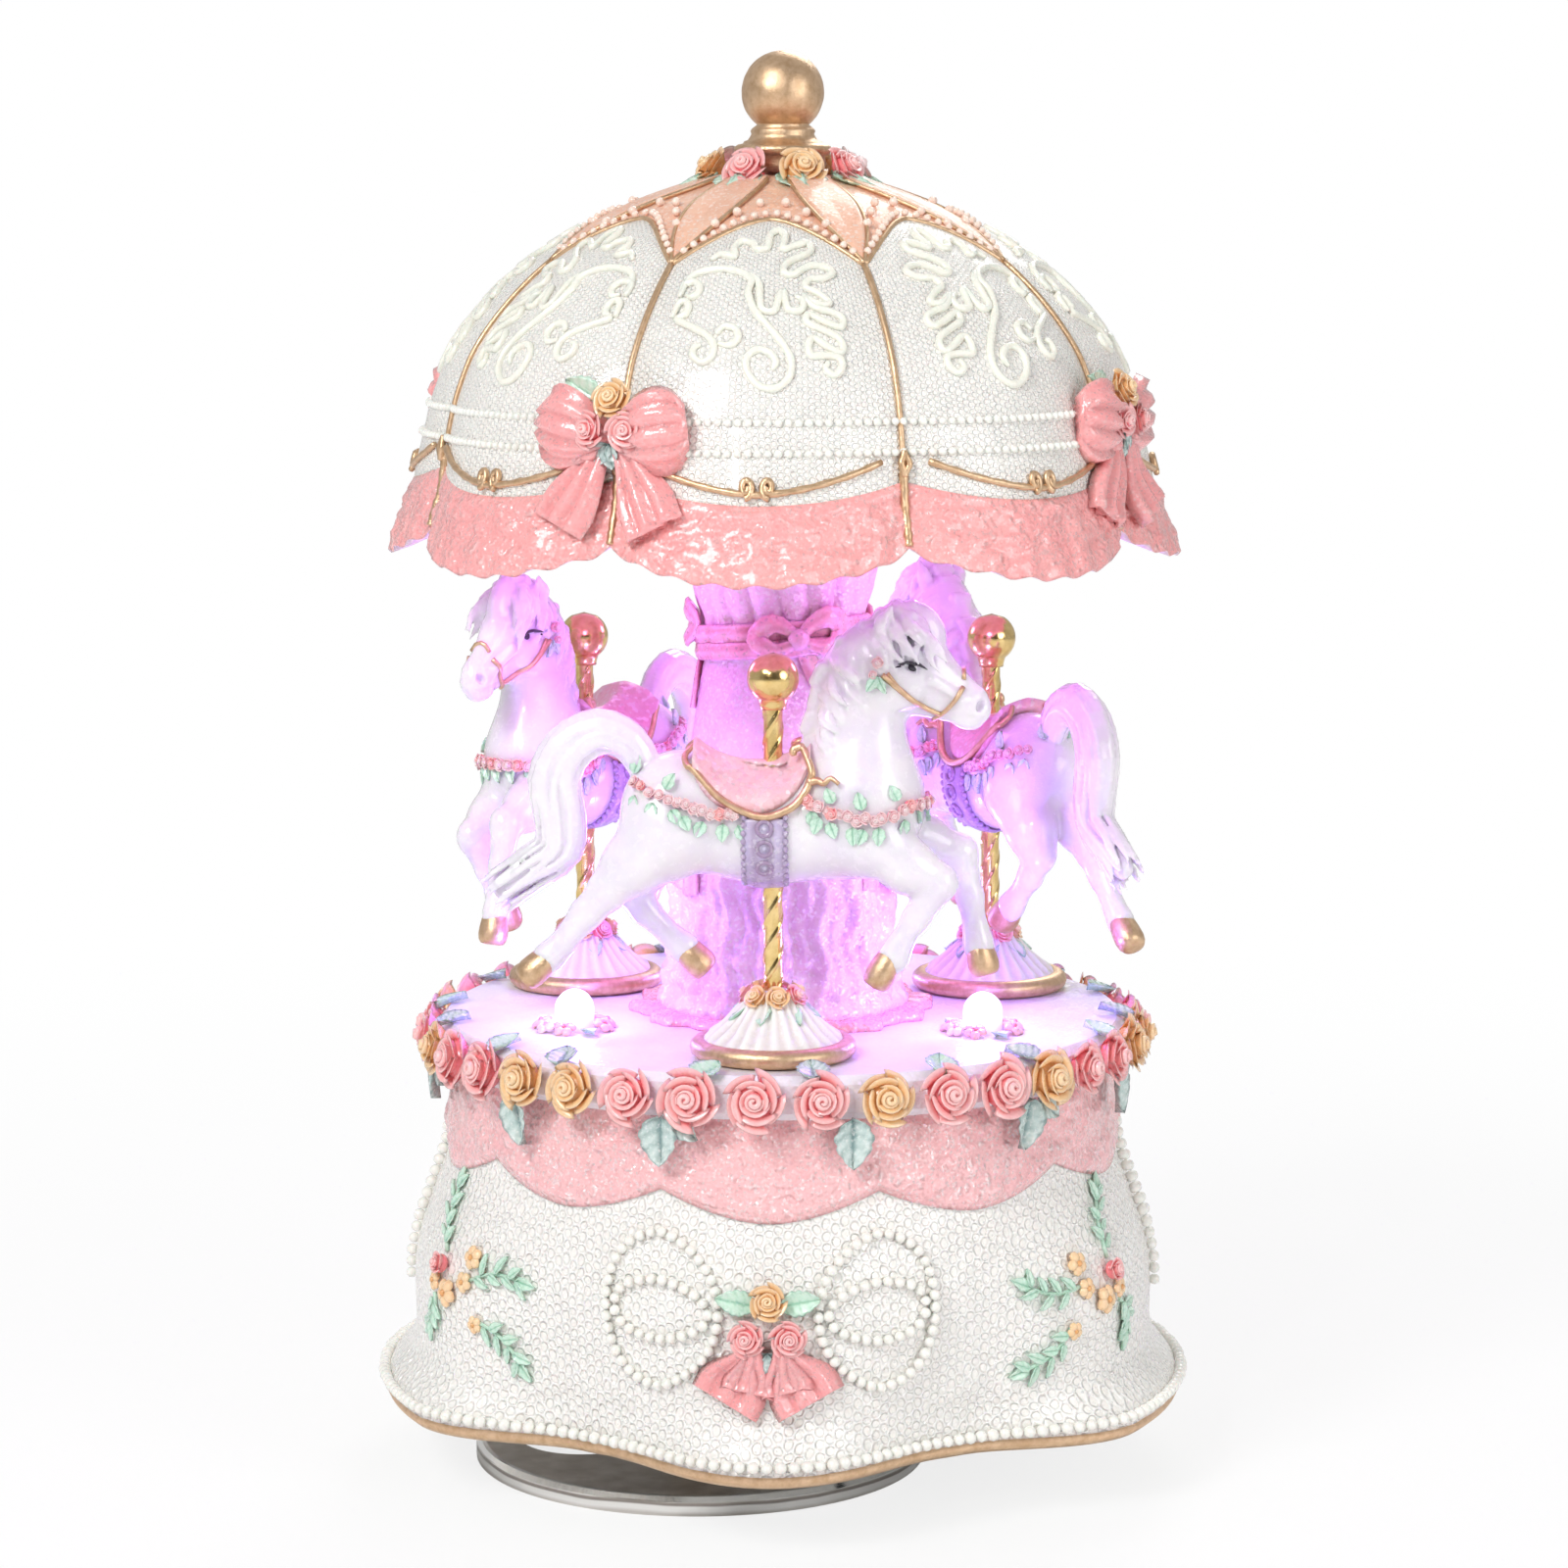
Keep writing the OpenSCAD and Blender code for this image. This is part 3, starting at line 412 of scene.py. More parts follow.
def painted(name, light, dark, gloss=0.25, glow=0.15, pearl=0.0, streak=0.0, scale=0.8, rim=None):
    """Hand-painted glossy resin: the shade attribute gives the crevices the darker colour as painted shade,
    and the most open parts the rim colour as painted highlight.
    """
    mat = Material(name)
    where = mat.place()
    # painted shade and highlight: the shade attribute, varied by noise, runs the colour from dark in
    # crevices to the rim colour on open edges
    painted_shade_and_tone = mat.math("MULTIPLY", mat.shade(), mat.ramp(mat.noise(where, scale, 4.0), (0.25, 0.75),
                                                      (0.6, 1.0)))
    colour = mat.ramp(painted_shade_and_tone, (0.08, dark), (0.5, light), (0.95, rim or light))
    if streak:
        pale = mat.ramp(mat.noise(where, 2.6, 2.0), (0.55, 0.0), (0.75, streak))
        colour = mat.mix(pale, colour, (0.95, 0.95, 0.93))
    fine = mat.noise(where, 2.4, 3.0)
    return mat.finish({
        "Base Color": colour, "Normal": mat.bump(fine, 0.35, 0.12),
        "Roughness": mat.ramp(fine, (0.3, gloss), (0.8, gloss + 0.25)), "Subsurface Weight": glow,
        "Subsurface Radius": (1.0, 0.5, 0.4), "Subsurface Scale": 1.0 * MM, "Coat Weight": 0.5,
        "Coat Roughness": 0.12, "Sheen Weight": pearl})


def metal(name, light, dark, gloss, rough=0.15, scale=1.2, relief=0.05, weight=1.0):
    mat = Material(name)
    where = mat.place()
    fine = mat.noise(where, scale * 5, 3.0)
    return mat.finish({
        "Base Color": mat.ramp(mat.noise(where, scale, 5.0, 0.6), (0.3, dark), (0.65, light)),
        "Roughness": mat.ramp(fine, (0.25, gloss), (0.8, gloss + rough)),
        "Normal": mat.bump(fine, 0.5, relief), "Metallic": weight})


def plastic(name, light, dark, gloss, scale=1.5):
    mat = Material(name)
    where = mat.place()
    fine = mat.noise(where, 9.0, 2.0)
    return mat.finish({
        "Base Color": mat.ramp(mat.noise(where, scale, 4.0), (0.3, dark), (0.7, light)),
        "Normal": mat.bump(fine, 0.3, 0.05), "Roughness": mat.ramp(fine, (0.3, gloss), (0.8, gloss + 0.15))})


def brushed(name, light, dark, centre, lip):
    """Turned steel with fine rings round the centre, and a bright plated lip beyond that radius, in mm. The
    lip's colour is painted reflection: bright and dark bands by height.
    """
    mat = Material(name)
    coords = mat.node("TexCoord").outputs["Object"]
    flat = mat.node("Mapping", {"Scale": (1000, 1000, 0), "Location": (-centre[0], -centre[1], 0),
                                "Vector": coords}).outputs["Vector"]
    rings = mat.node("TexWave", {"Scale": 2.2, "Distortion": 1.5, "Detail": 3.0, "Vector": flat},
                     wave_type="RINGS", rings_direction="Z").outputs["Fac"]
    edge = mat.between(mat.vector("LENGTH", flat)["Value"], lip, lip + 0.25)
    plate = mat.ramp(mat.noise(flat, 0.3, 4.0), (0.3, dark), (0.7, light))
    height = mat.split(mat.place())[2]
    level = mat.math("ADD", mat.math("DIVIDE", height, DISC_HIGH.z),
                     mat.math("MULTIPLY", mat.noise(flat, 0.05, 2.0), 0.5))
    # painted reflection: bright and dark bands by height stand in for the room mirrored in the plated lip
    painted_reflection = mat.ramp(level, (0.3, (0.6, 0.57, 0.54)), (0.5, (0.96, 0.95, 0.94)), (0.72, (0.95, 0.94, 0.92)),
                      (0.8, (0.3, 0.27, 0.25)), (0.92, (0.4, 0.36, 0.33)), (1.0, (0.95, 0.94, 0.92)))
    satin = mat.ramp(rings, (0.0, 0.22), (1.0, 0.36))
    return mat.finish({
        "Base Color": mat.mix(edge, plate, painted_reflection), "Normal": mat.bump(rings, 0.12, 0.02),
        "Roughness": mat.mix(edge, satin, (0.09, 0.09, 0.09)), "Metallic": 1.0, "Anisotropic": 0.5})


def horse_resin():
    """Milky resin that lets the coloured light through, with pearly streaks; its creases take a violet grey
    as painted shade.
    """
    mat = Material("translucent_pearl")
    where = mat.place()
    colour = mat.ramp(mat.noise(where, 0.16, 4.0), (0.3, (0.8, 0.75, 0.85)), (0.7, (0.88, 0.845, 0.87)))
    streaks = mat.noise(where, 0.9, 4.0, 0.65)
    return mat.finish({
        # painted shade: the creases between strands are coloured violet grey
        "Base Color": mat.mix(mat.ramp(mat.shade(), (0.0, 0.22), (0.9, 0.0)), colour, (0.68, 0.6, 0.8)),
        "Roughness": mat.ramp(streaks, (0.35, 0.12), (0.65, 0.32)),
        "Normal": mat.bump(streaks, 0.35, 0.16, mat.bump(mat.noise(where, 2.1, 3.0), 0.3, 0.1)),
        "Subsurface Weight": 0.6, "Subsurface Radius": (1.0, 0.75, 1.0), "Subsurface Scale": 1.6 * MM,
        "Coat Weight": 0.7, "Coat Roughness": 0.12, "IOR": 1.5})


def lamp_glass():
    """A lit lens: white at its tip, violet towards its foot."""
    mat = Material("lit_lens")
    where = mat.place()
    rise = mat.between(mat.split(where)[2], DECK_Z, LAMP_TOP)
    return mat.finish({
        "Base Color": mat.ramp(mat.noise(where, 2.0, 2.0), (0.3, (0.9, 0.85, 1.0)),
                               (0.7, (0.97, 0.95, 1.0))),
        "Emission Color": mat.ramp(rise, (0.0, (0.72, 0.5, 1.0)), (0.45, (0.93, 0.85, 1.0)), (0.75, 1.0)),
        "Emission Strength": mat.ramp(rise, (0.0, 0.5), (0.7, 1.0)), "Roughness": 0.4})


PEARL = resin("pearl_glitter", (0.97, 0.96, 0.925), (0.93, 0.92, 0.88))
NET = resin("pearl_net", (0.985, 0.96, 0.91), (0.945, 0.92, 0.865), sparkle=0.36, net=(1.45, 47.0),
            grain=0.25, gloss=0.2)
CANOPY_NET = resin("pearl_weave", (0.995, 0.96, 0.9), (0.96, 0.925, 0.865), sparkle=0.24,
                   net=(0.85, 45.0, 128.0), grain=0.3, gloss=0.22)
# painted light: the deck's lilac tint stands in for the lamps' violet glow on the white resin
DECK = resin("deck_glitter", (0.91, 0.875, 0.93), (0.86, 0.82, 0.91), sparkle=0.3)
PEARL_PINK = resin("column_glitter", (0.93, 0.7, 0.82), (0.85, 0.55, 0.74), sparkle=0.6, grain=0.6,
                   fleck_and_glint=0.4)
PINK = resin("pink_glitter", (1.0, 0.62, 0.6), (0.985, 0.46, 0.46), sparkle=0.4, speck=(0.88, 0.28, 0.3),
             crackle=0.6, grain=0.6, gloss=0.14, fleck_and_glint=0.2, shine=0.6)
DRAPE = resin("pale_pink_glitter", (1.0, 0.75, 0.75), (0.98, 0.61, 0.63), sparkle=0.55,
              speck=(0.94, 0.52, 0.54), crackle=0.7, grain=0.7, gloss=0.14, fleck_and_glint=0.35, shine=0.6)
PEACH = resin("peach_glitter", (0.93, 0.57, 0.41), (0.86, 0.46, 0.31), sparkle=0.4, grain=0.5, fleck_and_glint=0.35)
RIBBON = resin("pink_ribbon", (1.0, 0.64, 0.62), (0.985, 0.46, 0.47), sparkle=0.14, gloss=0.12, grain=0.35,
               fleck_and_glint=0.12, speck=(0.93, 0.42, 0.43), glow=0.25, shine=0.7, crackle=0.14)
SOFT_RIBBON = resin("soft_ribbon", (0.99, 0.62, 0.68), (0.96, 0.48, 0.58), sparkle=0.2, gloss=0.2, grain=0.3,
                    fleck_and_glint=0.15, glow=0.4)
BEAD = painted("pearl_bead", (0.9, 0.89, 0.83), (0.72, 0.7, 0.62), gloss=0.15, pearl=0.2)
PEACH_BEAD = painted("peach_bead", (0.97, 0.66, 0.52), (0.85, 0.42, 0.28), gloss=0.12,
                     rim=(0.98, 0.78, 0.68))
LACE_PAINT = painted("cream_lace", (0.9, 0.89, 0.79), (0.7, 0.68, 0.55), gloss=0.18, pearl=0.2)
ROSE_PINK = painted("rose_pink", (1.0, 0.42, 0.42), (0.92, 0.13, 0.17), gloss=0.15, rim=(1.0, 0.62, 0.61))
ROSE_ORANGE = painted("rose_orange", (0.92, 0.54, 0.25), (0.69, 0.28, 0.07), gloss=0.15,
                      rim=(0.95, 0.7, 0.45))
ROSE_PALE = painted("rose_pale", (0.94, 0.55, 0.58), (0.8, 0.25, 0.34), gloss=0.2, streak=0.45,
                    rim=(0.97, 0.8, 0.8))
LEAF = painted("leaf_green", (0.57, 0.8, 0.65), (0.24, 0.52, 0.36), gloss=0.18, streak=0.35,
               rim=(0.72, 0.88, 0.77))
LEAF_PALE = painted("leaf_silver", (0.5, 0.63, 0.6), (0.12, 0.24, 0.24), gloss=0.15, streak=0.6,
                    rim=(0.78, 0.86, 0.83))
GOLD = metal("gold_paint", (0.8, 0.57, 0.37), (0.62, 0.4, 0.23), 0.28, 0.2, 1.0, 0.1, 0.92)
GILT = metal("gold_plate", (0.88, 0.66, 0.31), (0.7, 0.47, 0.17), 0.13, 0.1, 0.6, 0.03)
HORSE = horse_resin()
LAMP = lamp_glass()
STEEL = brushed("nickel_disc", (0.74, 0.68, 0.62), (0.52, 0.46, 0.4), ((DISC_LOW + DISC_HIGH) / 2)[:2],
                (DISC_HIGH.x - DISC_LOW.x) / 2 - 1.3)
BRIGHT = metal("bright_steel", (0.7, 0.7, 0.72), (0.5, 0.5, 0.52), 0.2)
BRASS = metal("movement_brass", (0.8, 0.6, 0.27), (0.62, 0.43, 0.16), 0.22)
BLACK = plastic("black_plastic", (0.035, 0.035, 0.04), (0.015, 0.015, 0.018), 0.35)
WHITE = plastic("white_plastic", (0.82, 0.82, 0.8), (0.72, 0.72, 0.7), 0.4)
RED = plastic("red_insulation", (0.6, 0.06, 0.05), (0.45, 0.03, 0.03), 0.35)
LILAC = resin("lilac_strap", (0.68, 0.6, 0.8), (0.48, 0.4, 0.64), sparkle=0.2, gloss=0.25, glow=0.3)
SADDLE = resin("saddle_pink", (0.96, 0.66, 0.7), (0.9, 0.5, 0.57), sparkle=0.5, flake=0.5, glow=0.3,
               fleck_and_glint=0.35)
EYE = painted("eye_black", (0.02, 0.015, 0.03), (0.01, 0.01, 0.015), gloss=0.12, glow=0.0)

SLOT_MATERIALS = {"nickel_steel": STEEL, "screw_steel": BRIGHT, "movement_brass": BRASS,
                  "comb_steel": BRIGHT,
                  "pearl_resin": DECK, "pink_resin": PINK, "rose_resin": ROSE_PINK, "leaf_resin": LEAF,
                  "gold_paint": GOLD, "gold_plate": GILT, "horse_resin": HORSE, "lamp_lens": LAMP,
                  "wire_insulation": RED, "white_plastic": WHITE, "black_plastic": BLACK,
                  "cell_steel": BRIGHT}


def dress_cad_nodes():
    """Gives every carried-over CAD node its procedural material."""
    slots = {s["node"]: s["material_slot"] for s in frame["record"]["subparts"]}
    for name, obj in frame["nodes"].items():
        obj.data.materials.clear()
        obj.data.materials.append(SLOT_MATERIALS[slots[name]])
        set_shade(obj.data, [1.0] * len(obj.data.vertices))
    rounded = frame["nodes"]["winding_disc"].modifiers.new("rounded_lip", "BEVEL")
    rounded.width = 0.45 * MM
    rounded.segments = 4
    rounded.angle_limit = math.radians(40)


# ---------------------------------------------------------------- camera, light and floor
def make_camera():
    distance, focal, pitch, azimuth = 580, 102.7, 8.1, 2.2
    target = Vector((0.15, 0, 88.5))
    a, p = math.radians(azimuth), math.radians(pitch)
    offset = Vector((math.sin(a) * math.cos(p), -math.cos(a) * math.cos(p), math.sin(p))) * distance
    camera = new_object("camera", bpy.data.cameras.new("camera"))
    camera.location = (target + offset) * MM
    camera.rotation_euler = (math.pi / 2 - p, 0, a)
    camera.data.lens = focal
    camera.data.sensor_width = 36
    camera.data.clip_start = 0.01
    camera.data.clip_end = 20
    bpy.context.scene.camera = camera


def area_light(name, where, size, power):
    light = bpy.data.lights.new(name, "AREA")
    light.shape = "DISK"
    light.size = size
    light.energy = power
    obj = new_object(name, light)
    obj.location = where
    obj.rotation_euler = (Vector((0, 0, 0.09)) - Vector(where)).to_track_quat("-Z", "Y").to_euler()


def glow_light(name, where, radius, power, colour, parent):
    light = bpy.data.lights.new(name, "POINT")
    light.shadow_soft_size = radius * MM
    light.energy = power
    light.color = colour
    obj = new_object(name, light)
    obj.location = where * MM
    obj.parent = parent


def make_studio():
    sky = bpy.data.worlds.new("studio")
    bpy.context.scene.world = sky
    sky.use_nodes = True
    world = Graph(sky.node_tree)
    # the studio is darker on the camera's side, so metals show dark centres and bright edges
    depth = world.split(world.node("TexCoord").outputs["Generated"])[1]
    tint = world.ramp(world.math("MULTIPLY_ADD", depth, 0.5, 0.5), (0.05, (0.2, 0.19, 0.18)),
                      (0.3, (0.8, 0.81, 0.83)), (0.7, 1.0))
    soft, bright = world.nodes["Background"], world.node("Background", {"Color": (1, 1, 1), "Strength": 1.0})
    world.feed(soft, {"Color": tint, "Strength": 0.52})
    seen = world.node("LightPath").outputs["Is Camera Ray"]
    pick = world.node("MixShader", {0: seen, 1: soft.outputs[0], 2: bright.outputs[0]})
    world.feed(world.nodes["World Output"], {"Surface": pick.outputs[0]})
    area_light("key", (-0.45, -0.65, 0.7), 0.35, 5.2)
    area_light("fill", (0.7, -0.6, 0.35), 0.5, 2.6)
    area_light("rim", (0.15, 0.75, 0.65), 0.45, 2.2)
    area_light("glint", (-0.2, -0.7, 0.45), 0.05, 0.7)
    # the floor catches the shadow near the box and shines a plain white to the camera further out
    floor = bpy.data.meshes.new("floor")
    size = 12.0
    floor.from_pydata([(x * size, y * size, 0) for x, y in ((-1, -1), (1, -1), (1, 1), (-1, 1))], [],
                      [(0, 1, 2, 3)])
    mat = Material("floor_white")
    where = mat.place(1)
    mat.finish({"Base Color": mat.ramp(mat.noise(where, 20.0), (0.0, 0.93), (1.0, 0.95)), "Roughness": 0.7})
    far = mat.between(mat.vector("LENGTH", where)["Value"], 0.08, 0.4, 0.8, interpolation_type="SMOOTHSTEP")
    seen = mat.math("MULTIPLY", far, mat.node("LightPath").outputs["Is Camera Ray"])
    shine = mat.node("Emission", {"Strength": 1.0}).outputs[0]
    pick = mat.node("MixShader", {0: seen, 1: mat.surface.outputs[0], 2: shine})
    mat.feed(mat.nodes["Material Output"], {"Surface": pick.outputs[0]})
    floor.materials.append(mat.made)
    new_object("floor", floor)


# ---------------------------------------------------------------- the two big surfaces
BASE_ROWS = [  # z, then the radius of the side lobes, the front lobes and the valleys between them
    (10.8, 52.2, 50.7, 42.8), (13, 51.4, 49.8, 43), (15.5, 49.3, 48.4, 43.2), (18.5, 48.3, 47.6, 43.8),
             (26, 48.3, 47.4, 44.4),
    (31, 47.4, 46.8, 44.6), (37, 45.3, 45, 44), (43, 43.4, 43.4, 43), (53.5, 42.3, 42.3, 42.1)]
CANOPY_ROWS = [  # z and radius at mid panel and at a rib, from the hem to the crown
    (118.8, 122.8, 50.8, 46.4), (122.5, 125.4, 49.4, 45.6), (126, 127.6, 48.2, 44.9), (130, 130.4, 47, 44.5),
    (134.3, 134.3, 45.9, 44), (138, 138, 45, 43.2), (141.1, 141.1, 43.9, 42.2), (144.8, 144.8, 42.3, 40.6),
    (148.6, 148.6, 39.6, 38), (152.3, 152.3, 36.3, 34.7), (156, 156, 32, 30.5), (159.8, 159.8, 26, 24.8),
    (162.8, 162.8, 19.5, 18.7), (165, 165, 13, 12.6), (166.8, 166.8, 7, 7), (167, 167, 2.4, 2.4)]


def curved(a, b, c, d, t):
    """A smooth curve from b at t = 0 to c at t = 1, led by the points a and d beyond them."""
    return 0.5 * (2 * b + (c - a) * t + (2 * a - 5 * b + 4 * c - d) * t * t
                  + (3 * b - a - 3 * c + d) * t ** 3)


def dense(rows, steps=20):
    """Columns of a smooth curve through the rows, with steps samples to a gap."""
    rows = np.array(rows, float)
    out = []
    for i in range(len(rows) - 1):
        a, b, c, d = (rows[min(max(k, 0), len(rows) - 1)] for k in (i - 1, i, i + 1, i + 2))
        for t in np.linspace(0, 1, steps, endpoint=False):
            out.append(curved(a, b, c, d, t))
    out.append(rows[-1])
    return np.array(out).T


BASE_CURVE = dense(BASE_ROWS)
CANOPY_CURVE = dense(CANOPY_ROWS)


def base_r(phi, z):
    side, front, valley = (np.interp(z, BASE_CURVE[0], BASE_CURVE[k]) for k in (1, 2, 3))
    a = phi % 180
    a = min(a, 180 - a)
    f = (1 + math.cos(math.radians(6 * a))) / 2 if a < 30 else 0
    s = 0 if a < 34 else 1 if a > 62 else (1 - math.cos((a - 34) / 28 * math.pi)) / 2
    return valley + (side - valley) * s + (front - valley) * f


def base_point(phi, z):
    return polar(phi, base_r(phi, z), z)


def across_panel(phi):
    """-1 at a panel's left rib, 0 at its middle, 1 at its right rib."""
    return ((phi - CANOPY_TURN + HALF_PANEL) % PANEL - HALF_PANEL) / HALF_PANEL


def belly_of(phi):
    """1 in the middle of a panel and 0 at its ribs."""
    return abs(math.cos(math.radians(4 * (phi - CANOPY_TURN)))) ** 0.8


def dome_curve(phi):
    """Heights and radii of the canopy's outside in one direction."""
    b = belly_of(phi)
    zm, zr, rm, rr = CANOPY_CURVE
    return zr + (zm - zr) * b, rr + (rm - rr) * b


def dome_point(phi, z):
    zs, rs = dome_curve(phi)
    return polar(phi, float(np.interp(z, zs, rs)), z)


def frame_at(surface, phi, z):
    """Point, outward normal, right and up on a surface."""
    p = surface(phi, z)
    right = (surface(phi + 0.5, z) - surface(phi - 0.5, z)).normalized()
    up = (surface(phi, z + 0.3) - surface(phi, z - 0.3)).normalized()
    return p, right.cross(up).normalized(), right, up


def on_surface(surface, phi, z, off=0.0):
    p, n, _, _ = frame_at(surface, phi, z)
    return p + n * off


def spline(points, steps=5, closed=False):
    """A smooth curve through points (tuples or vectors)."""
    pts = [Vector(p) for p in points]
    n = len(pts)
    out = []
    for i in range(n if closed else n - 1):
        a, b, c, d = (pts[k % n] if closed else pts[min(max(k, 0), n - 1)] for k in (i - 1, i, i + 1, i + 2))
        for k in range(steps):
            out.append(curved(a, b, c, d, k / steps))
    if not closed:
        out.append(pts[-1].copy())
    return out


def along(path, gap, closed=False):
    """Points spaced evenly along a path."""
    pts = path + [path[0]] if closed else path
    lengths = [(b - a).length for a, b in zip(pts, pts[1:])]
    total = sum(lengths)
    count = max(2, round(total / gap))
    out, i, done = [], 0, 0.0
    for k in range(count if closed else count + 1):
        want = total * k / count
        while i < len(lengths) - 1 and done + lengths[i] < want:
            done += lengths[i]
            i += 1
        out.append(pts[i].lerp(pts[i + 1], min(1, (want - done) / max(lengths[i], 1e-9))))
    return out


def fractal(p, scale, octaves=3):
    return noise.fractal(p * scale, 0.8, 2.0, octaves)


# ---------------------------------------------------------------- flowers, leaves, ribbons
def across(j, nv):
    """Whether row j of a thin closed body is on its face, and where it lies from -1 to 1 across."""
    return j < nv, -1 + 2 * j / (nv - 1) if j < nv else 1 - 2 * (j - nv) / (nv - 1)


def close_ends(piece, at, n, sides, material=0, shade=None):
    """Caps on the first and last ring of a tubular grid."""
    for i, turn in ((0, 1), (n - 1, -1)):
        piece.add([at(i, j) for j in range(sides)], [tuple(range(sides))[::turn]], material, shade)


def rose(piece, centre, normal, up, r, material=0, seed=0, layers=3):
    """A cupped rose of closed, curling petals; centre is the middle of its back."""
    rng = random.Random(seed)
    n = normal.normalized()
    x = up.cross(n).normalized()
    y = n.cross(x)
    turn = rng.uniform(0, TAU)

    def at(angle, radius, height):
        return centre + (x * math.cos(angle) + y * math.sin(angle)) * radius + n * height

    # painted shade: the heart of the rose gets low shade, so it is coloured darker
    piece.ball(centre + n * r * 0.25, r * 0.66, material, squash=0.62, normal=n, rings=6, sides=14,
               shade=0.25)
    spec = [(1.0, 0.62, 5, 0.62), (0.76, 0.82, 4, 0.7), (0.5, 0.95, 3, 0.85)][3 - layers:]
    for k, (size, tall, count, half) in enumerate(spec):
        for i in range(count):
            mid = turn + k * 0.9 + TAU * i / count + rng.uniform(-0.12, 0.12)
            rim = r * size * rng.uniform(0.94, 1.05)
            high = r * tall * rng.uniform(0.93, 1.05)
            nu, nv = 9, 6
            thick = r * 0.1

            def petal(i2, j2):
                u = -1 + 2 * i2 / (nu - 1)
                outside = j2 < nv
                v = j2 / (nv - 1) if outside else (2 * nv - 1 - j2) / (nv - 1)
                curl = max(0.0, v - 0.72) / 0.28
                radius = rim * (0.42 + 0.46 * math.sin(v * 1.45)) + rim * 0.12 * curl * curl + rim * 0.1 * u
                height = high * (v ** 0.8) * (1 - 0.16 * abs(u) ** 3) - high * 0.13 * curl * curl
                edge = (1 - u * u) ** 0.5 if abs(u) < 1 else 0
                if not outside:
                    radius -= thick * edge * (1 if v < 1 else 0.4)
                return at(mid + u * half * TAU / 2 / count * 1.75 * (0.75 + 0.25 * v), radius, height)

            # painted shade and highlight: each petal is darker at its root and on its inside, paler towards
            # its open tip
            def tone(i2, j2):
                v = j2 / (nv - 1) if j2 < nv else (2 * nv - 1 - j2) / (nv - 1)
                return 0.12 + 0.88 * v ** 1.3 if j2 < nv else 0.05 + 0.75 * v ** 2

            piece.grid(petal, nu, 2 * nv, closed_v=True, material=material, shade=tone)
    path = []
    for i in range(22):
        t = i / 21
        path.append(at(turn + t * TAU * 1.9, r * (0.05 + 0.27 * t), r * (0.98 - 0.2 * t)))
    # painted shade: the bud deep in the rose is coloured darker
    piece.ball(centre + n * r * 0.52, r * 0.36, material, squash=1.15, normal=n, rings=6, sides=10,
               shade=0.3)
    piece.tube(path, [r * (0.05 + 0.05 * math.sin(math.pi * min(1, i / 18))) for i in range(22)], 6,
               material, 1.5, normals=[n] * 22, shade=0.9)


def leaf(piece, root, direction, normal, length, width, material=0, curl=0.15, teeth=5, thick=0.35,
         deep=1.0):
    """A leaf with a sunk midrib, side veins and a toothed edge, as a closed thin body."""
    d = direction.normalized()
    n = (normal - d * normal.dot(d)).normalized()
    side = d.cross(n)
    nu, nv = 6 * teeth // 2 + 1, 9

    def at(i, j):
        t = i / (nu - 1)
        top, v = across(j, nv)
        w = width / 2 * math.sin(math.pi * min(1, t ** 0.75)) ** 0.8
        w *= 1 + 0.16 * abs(math.sin(math.pi * teeth * t)) - 0.08
        height = -curl * length * (t - 0.3) ** 2 + 0.22 * width * abs(v) ** 1.5
        if top:
            vein = 0.5 * abs(math.sin(math.pi * (teeth * t - 0.9 * abs(v)))) * abs(v)
            height += thick * (1 - v * v) ** 0.5 * (0.35 + 0.5 * vein * deep) if abs(v) < 1 else 0
            if abs(v) < 0.12:
                height -= 0.28 * thick * deep
        else:
            height -= thick * 0.5 * (1 - v * v)
        return root + d * (length * t) + side * (w * v) + n * height

    # painted shade and highlight: darker along the sunk midrib, in the vein grooves, towards the root and
    # underneath; paler on the open parts
    def tone(i, j):
        if j >= nv:
            return 0.3
        t, v = i / (nu - 1), -1 + 2 * j / (nv - 1)
        return (0.2 if abs(v) < 0.12 else 0.45 + 0.55
                * abs(math.sin(math.pi * (teeth * t - 0.9 * abs(v))))) * (0.55 + 0.45 * t)

    piece.grid(at, nu, 2 * nv, closed_v=True, material=material, shade=tone)


def bloom(piece, centre, normal, up, r, material=0, petals=5, seed=0):
    """A small open flower: round petals about a raised middle."""
    rng = random.Random(seed)
    n = normal.normalized()
    x = up.cross(n).normalized()
    y = n.cross(x)
    turn = rng.uniform(0, TAU)
    for k in range(petals):
        a = turn + TAU * k / petals
        d = x * math.cos(a) + y * math.sin(a)
        piece.ball(centre + d * r * 0.58 + n * r * 0.12, r * 0.47, material, squash=0.5,
                   normal=(n + d * 0.35), rings=5, sides=8, shade=0.85)
    piece.ball(centre + n * r * 0.28, r * 0.26, material, rings=4, sides=7, shade=0.3)


